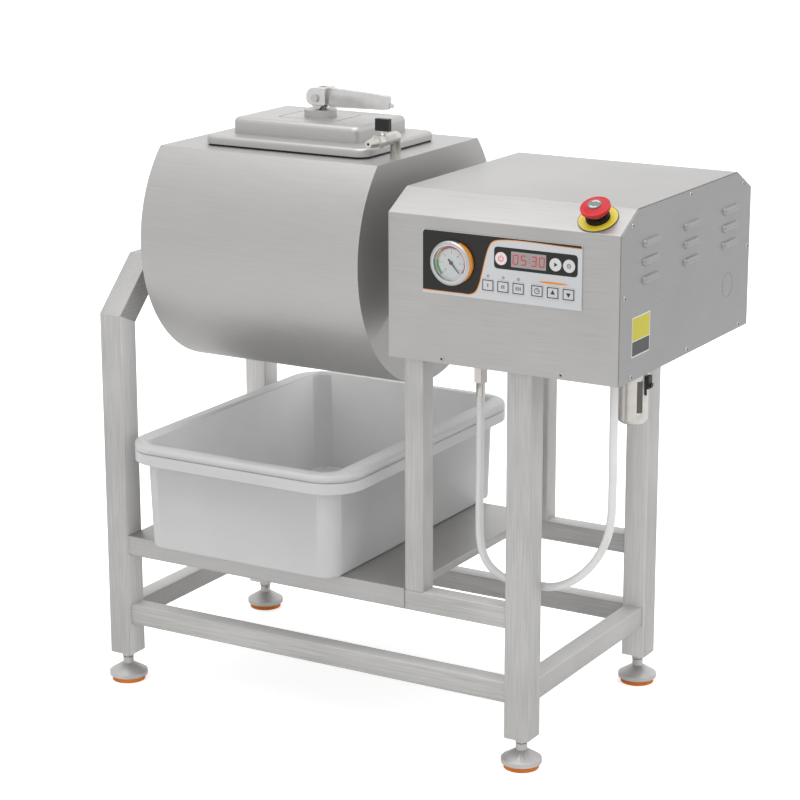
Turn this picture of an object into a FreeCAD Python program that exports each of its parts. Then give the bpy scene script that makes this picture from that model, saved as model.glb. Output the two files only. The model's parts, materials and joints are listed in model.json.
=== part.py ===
import FreeCAD, Part
import Sketcher
import math
import os
from FreeCAD import Placement, Rotation, Vector

# A meat vacuum tumbler: a steel drum with a flat top turns on a square-tube frame, driven and
# pumped from a folded-sheet box. Millimetres. +Z is up, +X runs from the drum to the box, and
# -Y is the front, where the operator stands.

doc = FreeCAD.newDocument("MeatVacuumTumbler")
sheet = doc.addObject("Spreadsheet::Sheet", "Sizes")

# Driving dimensions: every one is a cell with an alias.
SIZES = {
    # frame
    "frame_length": 720.0,        # left leg's left face to right leg's right face
    "frame_depth": 420.0,         # front leg's front face to rear leg's back face
    "leg_width": 38.0,            # square tube of the legs and the drum's portal
    "leg_wall": 1.5,
    "leg_clearance": 46.0,        # floor to the legs' lower ends
    "leg_plug": 6.0,              # threaded plate in a leg's lower end
    "rail_width": 30.0,           # square tube of rails and mid posts
    "rail_wall": 1.5,
    "low_rail_top": 126.0,
    "shelf_rail_top": 236.0,
    "post_place": 520.0,          # left face of the mid posts from the frame's left face
    "portal_top": 656.0,
    "shoulder_run": 79.0,         # the slanted shoulder's reach, up and inward
    # shelf
    "shelf_sheet": 1.5,
    "shelf_skirt": 28.0,          # front and rear flanges of the shelf
    "shelf_end_skirt": 11.0,
    # feet
    "foot_radius": 29.0,
    "foot_pad_radius": 25.0,
    "foot_pad_height": 8.0,
    "foot_rim_height": 6.0,
    "foot_cone_height": 12.0,
    "foot_neck_radius": 8.0,
    "foot_neck_height": 10.0,
    "foot_stem_radius": 5.0,
    "foot_stem_length": 68.0,
    "foot_nut_width": 17.0,
    "foot_nut_height": 8.0,
    # drum
    "drum_radius": 200.0,
    "drum_length": 370.0,
    "drum_place": 72.0,           # drum's left face from the frame's left face
    "drum_flat": 138.6,           # height of the flat top above the axle
    "axle_height": 686.0,
    "drum_wall": 2.0,
    "drum_end_wall": 3.0,
    "mouth_length": 202.0,
    "mouth_width": 160.0,
    "mouth_corner": 30.0,
    "baffle_height": 36.0,
    "baffle_sheet": 2.0,
    "hub_radius": 46.0,
    "hub_height": 10.0,
    "left_shaft_radius": 10.0,
    "right_shaft_radius": 15.0,
    "vacuum_bore": 5.0,
    "shaft_clearance": 0.05,
    # control box
    "box_place": 501.0,           # box's left face from the frame's left face
    "box_length": 350.0,
    "box_depth": 430.0,
    "box_floor": 575.0,           # floor to the underside of the box
    "box_wall": 202.0,            # height of the upright front wall
    "box_slope_run": 50.0,
    "box_slope_rise": 28.0,
    "box_sheet": 1.5,
    "box_bend": 3.0,
    "panel_reveal": 0.8,          # side panel's edge inside the cover's outline
    "fit_gap": 0.3,
    "face_gap": 0.1,              # between faces that slide past each other
    "screw_radius": 3.2,
    "screw_proud": 1.6,
    "screw_edge": 6.5,            # screw's middle from the panel's lower or upper edge
    "front_screw_left": 585.0,    # from the frame's left face
    "front_screw_right": 766.5,
    "louvre_length": 46.0,
    "louvre_height": 12.0,
    "louvre_depth": 4.5,
    "louvre_pitch_up": 24.6,
    "louvre_pitch_back": 132.0,
    "knockout_radius": 18.0,
    # controls
    "plate_length": 240.0,
    "plate_height": 87.0,
    "plate_place": 555.5,         # control plate's left edge from the frame's left face
    "plate_floor": 672.0,
    "plate_sheet": 1.5,
    "window_left": 88.0,          # the cover's opening behind the plate, from the plate's left edge
    "window_margin": 6.5,         # and inside its other edges
    "key_side": 17.4,
    "key_round": 8.7,
    "key_proud": 0.7,
    "key_travel": 0.5,
    "key_gap": 0.2,
    "key_flange": 1.0,
    "key_plunger": 2.0,
    "board_setback": 8.0,
    "display_length": 52.0,
    "display_height": 19.0,
    "display_place_x": 134.5,     # display's left edge from the plate's
    "display_place_z": 49.0,      # display's lower edge from the plate's
    "gauge_radius": 30.5,
    "gauge_proud": 8.0,
    "gauge_case_radius": 26.0,
    "gauge_case_depth": 28.0,
    "gauge_dial_radius": 24.5,
    "stop_head_radius": 20.3,
    "stop_head_height": 13.0,
    "stop_travel": 4.0,
    "stop_legend_radius": 27.5,
    "stop_collar_radius": 15.0,
    "stop_collar_height": 6.0,
    "stop_stem_radius": 8.0,
    "stop_place": 805.0,          # from the frame's left face
    # drive
    "gear_module": 3.0,
    "gear_teeth": 48.0,
    "pinion_teeth": 16.0,
    "gear_width": 18.0,
    "pinion_shaft_radius": 8.0,
    "motor_radius": 44.0,
    "motor_length": 120.0,
    "pump_radius": 42.0,
    "pump_length": 190.0,
    "pump_place": 70.0,           # pump's left end from the box's left face
    "pump_rail_height": 14.0,
    "bearing_radius": 28.0,
    "bearing_foot_length": 110.0,
    "bearing_foot_height": 11.0,
    "bearing_pitch": 88.0,        # between the pillow block's bolts
    # lid
    "lid_place": 263.0,           # flange's middle from the frame's left face
    "lid_forward": 9.75,          # flange's middle in front of the drum's axle
    "lid_length": 276.5,
    "lid_width": 205.5,
    "lid_flange_height": 12.0,
    "lid_corner": 18.0,
    "lid_sheet": 2.0,
    "pan_length": 214.0,
    "pan_width": 144.0,
    "pan_height": 23.0,
    "pan_corner": 10.0,
    "seal_height": 3.0,
    "seal_width": 14.0,
    "seal_inset": 1.8,
    "boss_radius": 24.0,
    "boss_height": 10.4,
    "stud_radius": 6.0,
    "clamp_bar_length": 188.0,
    "clamp_bar_width": 20.0,
    "clamp_bar_height": 9.0,
    "clamp_throw": 1.0,           # how far the cam draws the stud
    "cam_radius": 8.0,            # of the lobe that bears on the boss
    "cam_drop": 9.0,              # from the pin down to the lobe's centre
    "clamp_shift": 1.2,           # the stud to the right of the pan's middle
    "lever_width": 30.0,
    "lever_yoke_length": 16.5,
    "lever_arm_width": 8.0,
    "lever_reach": 119.0,
    "lever_pin_radius": 4.0,
    # vent valve
    "valve_place_x": 427.0,       # from the frame's left face
    "valve_place_y": 140.0,       # from the frame's front face
    "valve_riser_radius": 7.5,
    "valve_riser_height": 29.0,
    "valve_body_radius": 8.5,
    "valve_reach": 75.0,
    "valve_bore": 2.0,
    "valve_handle_length": 22.0,
    "valve_handle_height": 17.0,
    "valve_handle_width": 8.0,
    # filter and hose
    "filter_place_x": 827.5,      # from the frame's left face
    "filter_place_y": 90.0,       # from the frame's front face
    "filter_radius": 20.6,
    "filter_drop": 72.0,          # box underside to the bowl's lowest point
    "filter_head_height": 6.0,
    "filter_window_turn": 53.0,   # degrees from the front toward the right
    "fitting_hex": 18.0,
    "fitting_length": 34.0,
    "ferrule_radius": 6.4,
    "ferrule_length": 21.0,
    "hose_radius": 5.8,
    "hose_setback": 50.0,         # the hose's plane behind the frame's front face
    "hose_left_place": 615.5,     # from the frame's left face
    "hose_right_place": 818.8,
    "right_fitting_length": 6.0,
    "right_ferrule_length": 3.0,
    "port_stub_height": 12.0,
    # tub
    "tub_place": 254.25,           # tub's middle from the frame's left face
    "tub_setback": 10.0,          # tub's middle behind the frame's middle
    "frame_lead": 13.0,           # the frame's middle in front of the origin
    "tub_base_length": 486.0,
    "tub_base_width": 324.0,
    "tub_height": 160.0,
    "tub_flare": 4.0,
    "tub_wall": 3.0,
    "tub_corner": 27.0,
    "tub_foot_round": 4.0,
    "tub_rim_reach": 31.0,        # rim beyond the base, on the long walls
    "tub_rim_reach_end": 20.0,    # the same on the short walls
    "tub_rim_low": 132.0,
    "tub_groove": 149.5,
    "tub_drain_radius": 4.0,
    "tub_drain_inset": 18.0,
}


class Size:
    """A length that keeps both its number and the spreadsheet expression it comes from."""

    def __init__(self, text, value):
        self.text = text
        self.value = value

    @staticmethod
    def of(other):
        return other if isinstance(other, Size) else Size(repr(float(other)), float(other))

    def join(self, sign, other, value):
        return Size("(%s %s %s)" % (self.text, sign, Size.of(other).text), value)

    def __add__(self, other):
        return self.join("+", other, self.value + Size.of(other).value)

    def __radd__(self, other):
        return Size.of(other) + self

    def __sub__(self, other):
        return self.join("-", other, self.value - Size.of(other).value)

    def __rsub__(self, other):
        return Size.of(other) - self

    def __mul__(self, other):
        return self.join("*", other, self.value * Size.of(other).value)

    def __rmul__(self, other):
        return Size.of(other) * self

    def __truediv__(self, other):
        return self.join("/", other, self.value / Size.of(other).value)

    def __neg__(self):
        return Size("(0 - %s)" % self.text, -self.value)

    def __float__(self):
        return self.value


def root_of(size):
    return Size("sqrt(%s)" % size.text, math.sqrt(size.value))


def fill_sheet():
    """Write each driving dimension to its own aliased cell."""
    for row, (alias, value) in enumerate(SIZES.items(), start=1):
        sheet.set("A%d" % row, alias.replace("_", " "))
        sheet.set("B%d" % row, repr(value))
        sheet.setAlias("B%d" % row, alias)
    doc.recompute()


fill_sheet()


def cell(alias):
    return Size("Sizes." + alias, float(sheet.get(alias)))


frame_length = cell("frame_length")
frame_depth = cell("frame_depth")
leg = cell("leg_width")
rail = cell("rail_width")
box_length = cell("box_length")
box_depth = cell("box_depth")
box_floor = cell("box_floor")
box_wall = cell("box_wall")
box_sheet = cell("box_sheet")
slope_run = cell("box_slope_run")
slope_rise = cell("box_slope_rise")
gap = cell("fit_gap")
running = cell("shaft_clearance")
axle_height = cell("axle_height")

# The origin is on the floor, at the middle of the whole machine's outline: the feet reach furthest
# left and the louvres furthest right, and the tub reaches furthest to the front and to the back.
far_left = leg / 2 - cell("foot_radius")
far_right = cell("box_place") + box_length + cell("louvre_depth")
FRAME_X = -(far_left + far_right) / 2
FRAME_Y = -cell("frame_lead") - frame_depth / 2
AXLE_Y = FRAME_Y + frame_depth / 2
RAIL_INSET = (leg - rail) / 2
MITRE = math.tan(math.radians(22.5))      # a 45 degree corner is cut at half its angle
flat_height = axle_height + cell("drum_flat")
shelf_top = cell("shelf_rail_top") + cell("shelf_sheet")
box_x = FRAME_X + cell("box_place")
box_right = box_x + box_length
box_front = AXLE_Y - box_depth / 2
box_back = AXLE_Y + box_depth / 2
box_shoulder = box_floor + box_wall
box_top = box_shoulder + slope_rise
SLOPE = math.atan2(slope_rise.value, slope_run.value)
NEEDLE_REST = 138.0                       # degrees clockwise from straight up, seen from the front

nodes = {}


# ---------------------------------------------------------------- building blocks
def bind(obj, prop, size):
    obj.setExpression(prop, Size.of(size).text)


def move_to(obj, at):
    for axis, size in zip("xyz", at):
        bind(obj, "Placement.Base." + axis, size)


TURNS = {
    "z": Rotation(),
    "x": Rotation(Vector(0, 1, 0), 90),
    "y": Rotation(Vector(1, 0, 0), -90),
    "-y": Rotation(Vector(1, 0, 0), 90),
}


def block(length, width, height, at):
    obj = doc.addObject("Part::Box", "Block")
    bind(obj, "Length", length)
    bind(obj, "Width", width)
    bind(obj, "Height", height)
    move_to(obj, at)
    return obj


def cylinder(radius, height, at, axis="z"):
    obj = doc.addObject("Part::Cylinder", "Cylinder")
    bind(obj, "Radius", radius)
    bind(obj, "Height", height)
    obj.Placement = Placement(Vector(), TURNS[axis])
    move_to(obj, at)
    return obj


def cone(low_radius, high_radius, height, at, axis="z"):
    obj = doc.addObject("Part::Cone", "Cone")
    bind(obj, "Radius1", low_radius)
    bind(obj, "Radius2", high_radius)
    bind(obj, "Height", height)
    obj.Placement = Placement(Vector(), TURNS[axis])
    move_to(obj, at)
    return obj


def hexagon(width, height, at, axis="z"):
    """A hexagonal bar, width across its flats."""
    obj = doc.addObject("Part::Prism", "Hexagon")
    obj.Polygon = 6
    bind(obj, "Circumradius", width * (1 / math.sqrt(3)))
    bind(obj, "Height", height)
    obj.Placement = Placement(Vector(), TURNS[axis])
    move_to(obj, at)
    return obj


def cut(base, *tools):
    for tool in tools:
        obj = doc.addObject("Part::Cut", "Cut")
        obj.Base = base
        obj.Tool = tool
        base = obj
    return base


def fuse(*parts):
    if len(parts) == 1:
        return group(*parts)
    obj = doc.addObject("Part::MultiFuse", "Fuse")
    obj.Shapes = list(parts)
    obj.Refine = True
    return obj


def common(*parts):
    obj = doc.addObject("Part::MultiCommon", "Common")
    obj.Shapes = list(parts)
    return obj


def group(*parts):
    obj = doc.addObject("Part::Compound", "Group")
    obj.Links = list(parts)
    return obj


def node(name, obj):
    obj.Label = name
    nodes[name] = obj
    return obj


def plane_of(body, role):
    return [f for f in body.Origin.OriginFeatures if f.Role == role][0]


def outline_sketch(body, role, points, lift=0.0):
    """A closed outline whose every corner is dimensioned from the sketch's origin."""
    sketch = body.newObject("Sketcher::SketchObject", "Outline")
    sketch.AttachmentSupport = [(plane_of(body, role), "")]
    sketch.MapMode = "FlatFace"
    bind(sketch, "AttachmentOffset.Base.z", lift)
    corners = [Vector(float(a), float(b), 0) for a, b in points]
    count = len(corners)
    for i in range(count):
        sketch.addGeometry(Part.LineSegment(corners[i], corners[(i + 1) % count]), False)
    for i in range(count):
        sketch.addConstraint(Sketcher.Constraint("Coincident", i, 2, (i + 1) % count, 1))
    for i, (across, along) in enumerate(points):
        for kind, size in (("DistanceX", across), ("DistanceY", along)):
            index = sketch.addConstraint(Sketcher.Constraint(kind, -1, 1, i, 1, float(size)))
            bind(sketch, "Constraints[%d]" % index, size)
    return sketch


def padded(body, sketch, length):
    pad = body.newObject("PartDesign::Pad", "Pad")
    pad.Profile = sketch
    bind(pad, "Length", length)
    return pad


def edge_names(shape, wanted):
    return ["Edge%d" % (i + 1) for i, edge in enumerate(shape.Edges) if wanted(edge)]


def along(axis):
    """Tests whether an edge is straight and runs along one axis."""
    def wanted(edge):
        box = edge.BoundBox
        span = {"x": box.XLength, "y": box.YLength, "z": box.ZLength}[axis]
        return edge.Curve.TypeId == "Part::GeomLine" and abs(span - edge.Length) < 1e-6
    return wanted


def rounded(body, base, wanted, radius):
    """Round the edges of the body's last feature that the test picks."""
    doc.recompute()
    fillet = body.newObject("PartDesign::Fillet", "Fillet")
    fillet.Base = (base, edge_names(base.Shape, wanted))
    bind(fillet, "Radius", radius)
    return fillet


def prism(role, points, length, at):
    """An outline padded along the plane's normal: YZ pads along +X, XY along +Z."""
    body = doc.addObject("PartDesign::Body", "Body")
    padded(body, outline_sketch(body, role, points), length)
    move_to(body, at)
    return body


def rectangle(length, width):
    half_x, half_y = length / 2, width / 2
    return [(-half_x, -half_y), (half_x, -half_y), (half_x, half_y), (-half_x, half_y)]


def slab(length, width, height, corner, at, top_round=None):
    """A plate centred on a point, with rounded upright corners and perhaps a rounded top edge."""
    body = doc.addObject("PartDesign::Body", "Slab")
    pad = padded(body, outline_sketch(body, "XY_Plane", rectangle(length, width)), height)
    last = rounded(body, pad, along("z"), corner)
    if top_round is not None:
        doc.recompute()
        top = last.Shape.BoundBox.ZMax
        rounded(body, last, lambda e: e.BoundBox.ZMin > top - 1e-6, top_round)
    move_to(body, at)
    return body


def tube_along(axis, length, side, wall, at):
    """A hollow square tube, open at both ends."""
    x, y, z = at
    inner = side - 2 * wall
    sizes = {"x": (length, side, side, length, inner, inner, x, y + wall, z + wall),
             "y": (side, length, side, inner, length, inner, x + wall, y, z + wall),
             "z": (side, side, length, inner, inner, length, x + wall, y + wall, z)}[axis]
    return cut(block(*sizes[:3], at), block(*sizes[3:6], sizes[6:]))


# ---------------------------------------------------------------- frame
def frame_places():
    """The four legs' near corners, with the Y direction that leads into the machine."""
    rear = FRAME_Y + frame_depth
    right = FRAME_X + frame_length - leg
    return {"front_left": (FRAME_X, FRAME_Y), "front_right": (right, FRAME_Y),
            "rear_left": (FRAME_X, rear - leg), "rear_right": (right, rear - leg)}


def foot_hole(corner):
    x, y = corner
    return cylinder(cell("foot_stem_radius") + running, cell("leg_plug") + 2,
                    (x + leg / 2, y + leg / 2, cell("leg_clearance") - 1))


def right_leg(corner):
    x, y = corner
    bottom = cell("leg_clearance")
    wall = cell("leg_wall")
    outer = block(leg, leg, box_floor - bottom, (x, y, bottom))
    lift = bottom + cell("leg_plug")
    void = block(leg - 2 * wall, leg - 2 * wall, box_floor - lift, (x + wall, y + wall, lift))
    return cut(outer, void, foot_hole(corner))


def portal_point(depth, top_end):
    """A corner of the portal's bend line, at a depth inside the outer face (local Y, local Z)."""
    if top_end:
        return (cell("shoulder_run") + depth * MITRE, cell("portal_top") - depth)
    return (depth, cell("portal_top") - cell("shoulder_run") - depth * MITRE)


def mirrored(points, behind):
    """Outline points of a front piece turned into the rear one's, in the same order of travel."""
    return [(frame_depth - y, z) for y, z in reversed(points)] if behind else points


def portal_tube(outer, inner):
    """A mitred tube of the portal: its outline and its void's, both extruded across the leg."""
    wall = cell("leg_wall")
    body = prism("YZ_Plane", outer, leg, (FRAME_X, FRAME_Y, 0))
    return cut(body, prism("YZ_Plane", inner, leg - 2 * wall, (FRAME_X + wall, FRAME_Y, 0)))


def left_leg(behind):
    wall = cell("leg_wall")
    bottom = cell("leg_clearance")

    def outline(near, far, low):
        return [(near, low), (far, low), portal_point(far, False), portal_point(near, False)]

    zero = Size.of(0)
    tube = portal_tube(mirrored(outline(zero, leg, bottom), behind),
                       mirrored(outline(wall, leg - wall, bottom + cell("leg_plug")), behind))
    corner = frame_places()["rear_left" if behind else "front_left"]
    return cut(tube, foot_hole(corner))


def shoulder(behind):
    wall = cell("leg_wall")

    def outline(near, far):
        return [portal_point(near, False), portal_point(far, False),
                portal_point(far, True), portal_point(near, True)]

    zero = Size.of(0)
    return portal_tube(mirrored(outline(zero, leg), behind),
                       mirrored(outline(wall, leg - wall), behind))


def top_beam():
    wall = cell("leg_wall")

    def outline(near, far):
        front = [portal_point(far, True), portal_point(near, True)]
        rear = [(frame_depth - y, z) for y, z in reversed(front)]
        return front + rear

    return portal_tube(outline(Size.of(0), leg), outline(wall, leg - wall))


def mid_post(behind):
    y = FRAME_Y + RAIL_INSET
    if behind:
        y = FRAME_Y + frame_depth - RAIL_INSET - rail
    low = cell("shelf_rail_top")
    return tube_along("z", box_floor - low, rail, cell("rail_wall"),
                      (FRAME_X + cell("post_place"), y, low))


def cross_rails(top):
    """The front and rear rails between the legs at one height."""
    z = top - rail
    length = frame_length - 2 * leg
    front = FRAME_Y + RAIL_INSET
    rear = FRAME_Y + frame_depth - RAIL_INSET - rail
    return [tube_along("x", length, rail, cell("rail_wall"), (FRAME_X + leg, y, z))
            for y in (front, rear)]


def side_rails(top):
    z = top - rail
    length = frame_depth - 2 * leg
    left = FRAME_X + RAIL_INSET
    right = FRAME_X + frame_length - RAIL_INSET - rail
    return [tube_along("y", length, rail, cell("rail_wall"), (x, FRAME_Y + leg, z))
            for x in (left, right)]


def shelf_tray():
    """A folded sheet over the shelf rails: skirts over their outer faces, short lips at its ends."""
    thick = cell("shelf_sheet")
    x = FRAME_X + leg
    length = cell("post_place") - leg
    y = FRAME_Y + RAIL_INSET - thick
    width = frame_depth - 2 * (RAIL_INSET - thick)
    top = cell("shelf_rail_top")
    deck = block(length, width, thick, (x, y, top))
    skirts = [block(length, thick, cell("shelf_skirt"), (x, side, top - cell("shelf_skirt")))
              for side in (y, y + width - thick)]
    lip_y = FRAME_Y + RAIL_INSET + rail + gap
    lip_width = frame_depth - 2 * (RAIL_INSET + rail + gap)
    lips = [block(thick, lip_width, cell("shelf_end_skirt"), (end, lip_y, top - cell("shelf_end_skirt")))
            for end in (x, x + length - thick)]
    return fuse(deck, *skirts, *lips)


def foot(corner):
    """Levelling foot: a cone disc with its neck and threaded stem, and the lock nut on the stem."""
    x, y = corner[0] + leg / 2, corner[1] + leg / 2
    z = cell("foot_pad_height")
    rim = cylinder(cell("foot_radius"), cell("foot_rim_height"), (x, y, z))
    z = z + cell("foot_rim_height")
    dome = cone(cell("foot_radius"), cell("foot_neck_radius") + 2, cell("foot_cone_height"), (x, y, z))
    z = z + cell("foot_cone_height")
    neck = cylinder(cell("foot_neck_radius"), cell("foot_neck_height"), (x, y, z))
    stem = cylinder(cell("foot_stem_radius"), cell("foot_stem_length"), (x, y, z))
    nut_z = cell("leg_clearance") - cell("foot_nut_height") - cell("face_gap")
    nut = cut(hexagon(cell("foot_nut_width"), cell("foot_nut_height"), (x, y, nut_z)),
              cylinder(cell("foot_stem_radius"), cell("foot_nut_height") + 2, (x, y, nut_z - 1)))
    return group(fuse(rim, dome, neck, stem), nut)


def foot_pad(corner):
    x, y = corner[0] + leg / 2, corner[1] + leg / 2
    return group(cylinder(cell("foot_pad_radius"), cell("foot_pad_height"), (x, y, 0)))


def build_frame():
    corners = frame_places()
    node("frame_legs", group(left_leg(False), left_leg(True),
                             right_leg(corners["front_right"]), right_leg(corners["rear_right"])))
    node("left_bridge", group(shoulder(False), shoulder(True), top_beam()))
    node("mid_posts", group(mid_post(False), mid_post(True)))
    low = cell("low_rail_top")
    node("frame_rails", group(*cross_rails(low), *side_rails(low), *cross_rails(cell("shelf_rail_top"))))
    node("shelf_tray", shelf_tray())
    for place, corner in corners.items():
        node("foot_" + place, foot(corner))
        node("foot_pad_" + place, foot_pad(corner))


# ---------------------------------------------------------------- control box
def box_outline(depth):
    """The box's end outline (local Y from its front, Z from the floor), drawn in by a depth."""
    slant = math.tan(SLOPE / 2)
    steep = math.cos(SLOPE) / (1 + math.sin(SLOPE))
    low_corner = (depth, box_shoulder - depth * steep)
    high_corner = (slope_run + depth * slant, box_top - depth)
    front = [(depth, box_floor), low_corner, high_corner]
    rear = [(box_depth - y, z) for y, z in reversed(front)]
    return front + rear


def box_cover():
    """One sheet folded over front, slope, top, rear slope and back, open below and at its ends."""
    outer = box_outline(Size.of(0))
    inner = box_outline(box_sheet)
    body = doc.addObject("PartDesign::Body", "Cover")
    points = outer + list(reversed(inner))
    pad = padded(body, outline_sketch(body, "YZ_Plane", points), box_length - box_sheet)
    bends_out = {(round(float(y), 3), round(float(z), 3)) for y, z in outer[1:-1]}
    bends_in = {(round(float(y), 3), round(float(z), 3)) for y, z in inner[1:-1]}

    def at_bends(bends):
        def wanted(edge):
            if not along("x")(edge):
                return False
            place = edge.Vertexes[0].Point
            return (round(place.y, 3), round(place.z, 3)) in bends
        return wanted

    last = rounded(body, pad, at_bends(bends_out), cell("box_bend"))
    rounded(body, last, at_bends(bends_in), cell("box_bend") - box_sheet)
    move_to(body, (box_x, box_front, 0))
    return cut(body, controls_window(), gauge_hole(box_front - 1, box_sheet + 2), stop_hole())


def controls_window():
    """The opening in the cover's front wall behind the keys and the display."""
    x0, x1, z0, z1 = control_window_edges()
    return block(x1 - x0, box_sheet + 2, z1 - z0, (x0, box_front - 1, z0))


def control_window_edges():
    left = FRAME_X + cell("plate_place")
    floor = cell("plate_floor")
    margin = cell("window_margin")
    return (left + cell("window_left"), left + cell("plate_length") - margin,
            floor + margin, floor + cell("plate_height") - margin)


def gauge_centre():
    return (FRAME_X + cell("plate_place") + 45.5, cell("plate_floor") + 45)


def gauge_hole(y, length):
    x, z = gauge_centre()
    return cylinder(cell("gauge_case_radius") + gap, length, (x, y, z), "y")


def box_side_panel():
    """The right side: outline just inside the cover's, nine louvres open below and a knock-out."""
    points = box_outline(cell("panel_reveal"))
    thick = box_sheet
    plate = prism("YZ_Plane", points, thick, (box_right - thick, box_front, 0))
    face = box_right
    louvre_solids = []
    louvre_voids = []
    louvre_sills = []
    nose = cell("louvre_height") / 2
    sink = nose - cell("louvre_depth")
    reach = cell("louvre_length") - nose
    for column in range(3):
        y = box_front + 66 + nose + column * cell("louvre_pitch_back")
        for row in range(3):
            z = box_shoulder - 16 - nose - row * cell("louvre_pitch_up")
            louvre_solids.append(louvre(nose, reach, (face - sink, y, z)))
            louvre_voids.append(louvre(nose - 1, reach - 1, (face - sink, y, z)))
            louvre_voids.append(block(cell("louvre_depth") + 1, reach, 3.4, (face, y, z - nose - 1)))
            louvre_sills.append(block(thick, reach + nose, 1.8, (face - thick, y - nose, z - nose + 0.6)))
    knock_y = FRAME_Y + 348
    knock_z = box_floor + 71.5
    groove = cut(cylinder(cell("knockout_radius"), 0.6, (face - 0.3, knock_y, knock_z), "x"),
                 cylinder(cell("knockout_radius") - 0.8, 2, (face - 1, knock_y, knock_z), "x"))
    shell = fuse(plate, *louvre_solids)
    keep = block(thick + cell("louvre_depth"), box_depth, box_top, (face - thick, box_front, 0))
    return fuse(cut(common(shell, keep), *louvre_voids, groove), *louvre_sills)


def louvre(radius, reach, at):
    """A louvre's bulge: a round nose at its front end and a straight back."""
    x, y, z = at
    ball = doc.addObject("Part::Sphere", "Nose")
    bind(ball, "Radius", radius)
    move_to(ball, at)
    return fuse(ball, cylinder(radius, reach, (x, y, z), "y"))


def box_base_pan():
    """The box's floor with its folded-up left wall, inside the cover."""
    thick = box_sheet
    inner = cell("box_sheet") + gap
    floor = block(box_length - thick, box_depth - 2 * inner, thick, (box_x, box_front + inner, box_floor))
    wall = prism("YZ_Plane", box_outline(inner), thick, (box_x, box_front, 0))
    shaft_hole = cylinder(cell("right_shaft_radius") + 3, thick + 2, (box_x - 1, AXLE_Y, axle_height), "x")
    ports = [cylinder(cell("ferrule_radius"), thick + 2, (x, y, box_floor - 1)) for x, y in hose_ends()]
    return cut(fuse(floor, wall), shaft_hole, *ports)


def side_screw_places():
    """Local Y from the box's front and Z of the eight screws of a side panel."""
    rear = box_depth
    edge = Size.of(11.5)
    mid_y = box_depth / 2
    mid_z = box_floor + box_wall * 0.58
    low = box_floor + cell("screw_edge")
    high = box_top - cell("screw_edge")
    slope_z = box_shoulder + cell("screw_edge") + 2
    inset = slope_run * 0.7
    return [(edge, mid_z), (rear - edge, mid_z),
            (inset, low), (mid_y, low), (rear - inset, low),
            (inset - 3, slope_z), (mid_y, high), (rear - inset + 3, slope_z)]


def box_screws():
    heads = []
    for y, z in side_screw_places():
        heads.append(screw((box_right, box_front + y, z), "x"))
    for place in ("front_screw_left", "front_screw_right"):
        heads.append(screw((FRAME_X + cell(place), box_front, box_floor + cell("screw_edge")), "-y"))
    return group(*heads)


def screw(at, axis):
    """A pan-head screw seated on a face: a domed head whose rim is smaller outside."""
    radius = cell("screw_radius")
    return cone(radius, radius * 0.7, cell("screw_proud"), at, axis)


def mains_inlet():
    """A flanged appliance inlet on the box's back."""
    y = box_back
    x = box_right - 70
    z = box_floor + 40
    flange = block(50, 3, 27, (x, y, z))
    hood = block(28, 6, 20, (x + 11, y + 3, z + 3.5))
    socket = block(24, 7, 16, (x + 13, y + 3.5, z + 5.5))
    pins = [block(2, 5, 6, (x + 13 + off, y + 3.4, z + rise))
            for off, rise in ((4, 7.5), (11, 13.5), (18, 7.5))]
    return fuse(cut(fuse(flange, hood), socket), *pins)


def build_box():
    node("box_cover", box_cover())
    node("box_side_panel", box_side_panel())
    node("box_base_pan", box_base_pan())
    node("box_screws", box_screws())
    node("mains_inlet", mains_inlet())


# ---------------------------------------------------------------- control panel
def key_places():
    """Each key's centre (X from the plate's left edge, Z from its lower edge), and whether round."""
    small = 20
    return {"power_key": (120.3, 58.3, True), "start_key": (201.3, 58.3, True),
            "set_key": (201.3 + small, 58.3, True),
            "mode_key_1": (100.8, small, False), "mode_key_2": (123.6, small, False),
            "mode_key_3": (146.5, small, False), "time_key": (174.6, small, False),
            "up_key": (197.8, small, False), "down_key": (221.0, small, False)}


def key_centre(name):
    x, z, is_round = key_places()[name]
    return (FRAME_X + cell("plate_place") + x, cell("plate_floor") + z, is_round)


def key_shape(name, y, depth, spread):
    """A key's outline, spread outward by a margin, from one Y to a depth behind it."""
    x, z, is_round = key_centre(name)
    if is_round:
        return cylinder(cell("key_round") + spread, depth, (x, y, z), "y")
    side = cell("key_side") + 2 * spread
    return block(side, depth, side, (x - side / 2, y, z - side / 2))


def display_block(y, depth, spread):
    """The display's outline, spread outward by a margin, from one Y to a depth behind it."""
    length = cell("display_length") + 2 * spread
    height = cell("display_height") + 2 * spread
    x = FRAME_X + cell("plate_place") + cell("display_place_x")
    z = cell("plate_floor") + cell("display_place_z")
    return block(length, depth, height, (x - spread, y, z - spread))


def control_plate():
    left = FRAME_X + cell("plate_place")
    thick = cell("plate_sheet")
    plate = block(cell("plate_length"), thick, cell("plate_height"),
                  (left, box_front - thick, cell("plate_floor")))
    behind = box_front - thick - 1
    openings = [key_shape(name, behind, thick + 2, cell("key_gap")) for name in key_places()]
    openings.append(display_block(behind, thick + 2, cell("key_gap")))
    return cut(plate, *openings, gauge_hole(behind, thick + 2))


def key(name):
    """A key cap in its opening, a flange behind the plate and a plunger to its switch."""
    face = box_front - cell("plate_sheet") - cell("key_proud")
    flange_y = box_front + cell("face_gap")
    cap = key_shape(name, face, flange_y - face, Size.of(0))
    flange = key_shape(name, flange_y, cell("key_flange"), Size.of(0.9))
    x, z, is_round = key_centre(name)
    plunger_y = flange_y + cell("key_flange")
    reach = switch_front() - cell("key_travel") - 0.2 - plunger_y
    plunger = cylinder(cell("key_plunger"), reach, (x, plunger_y, z), "y")
    return fuse(cap, flange, plunger)


def board_front():
    return box_front + cell("board_setback")


def switch_front():
    return board_front() - 4


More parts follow.
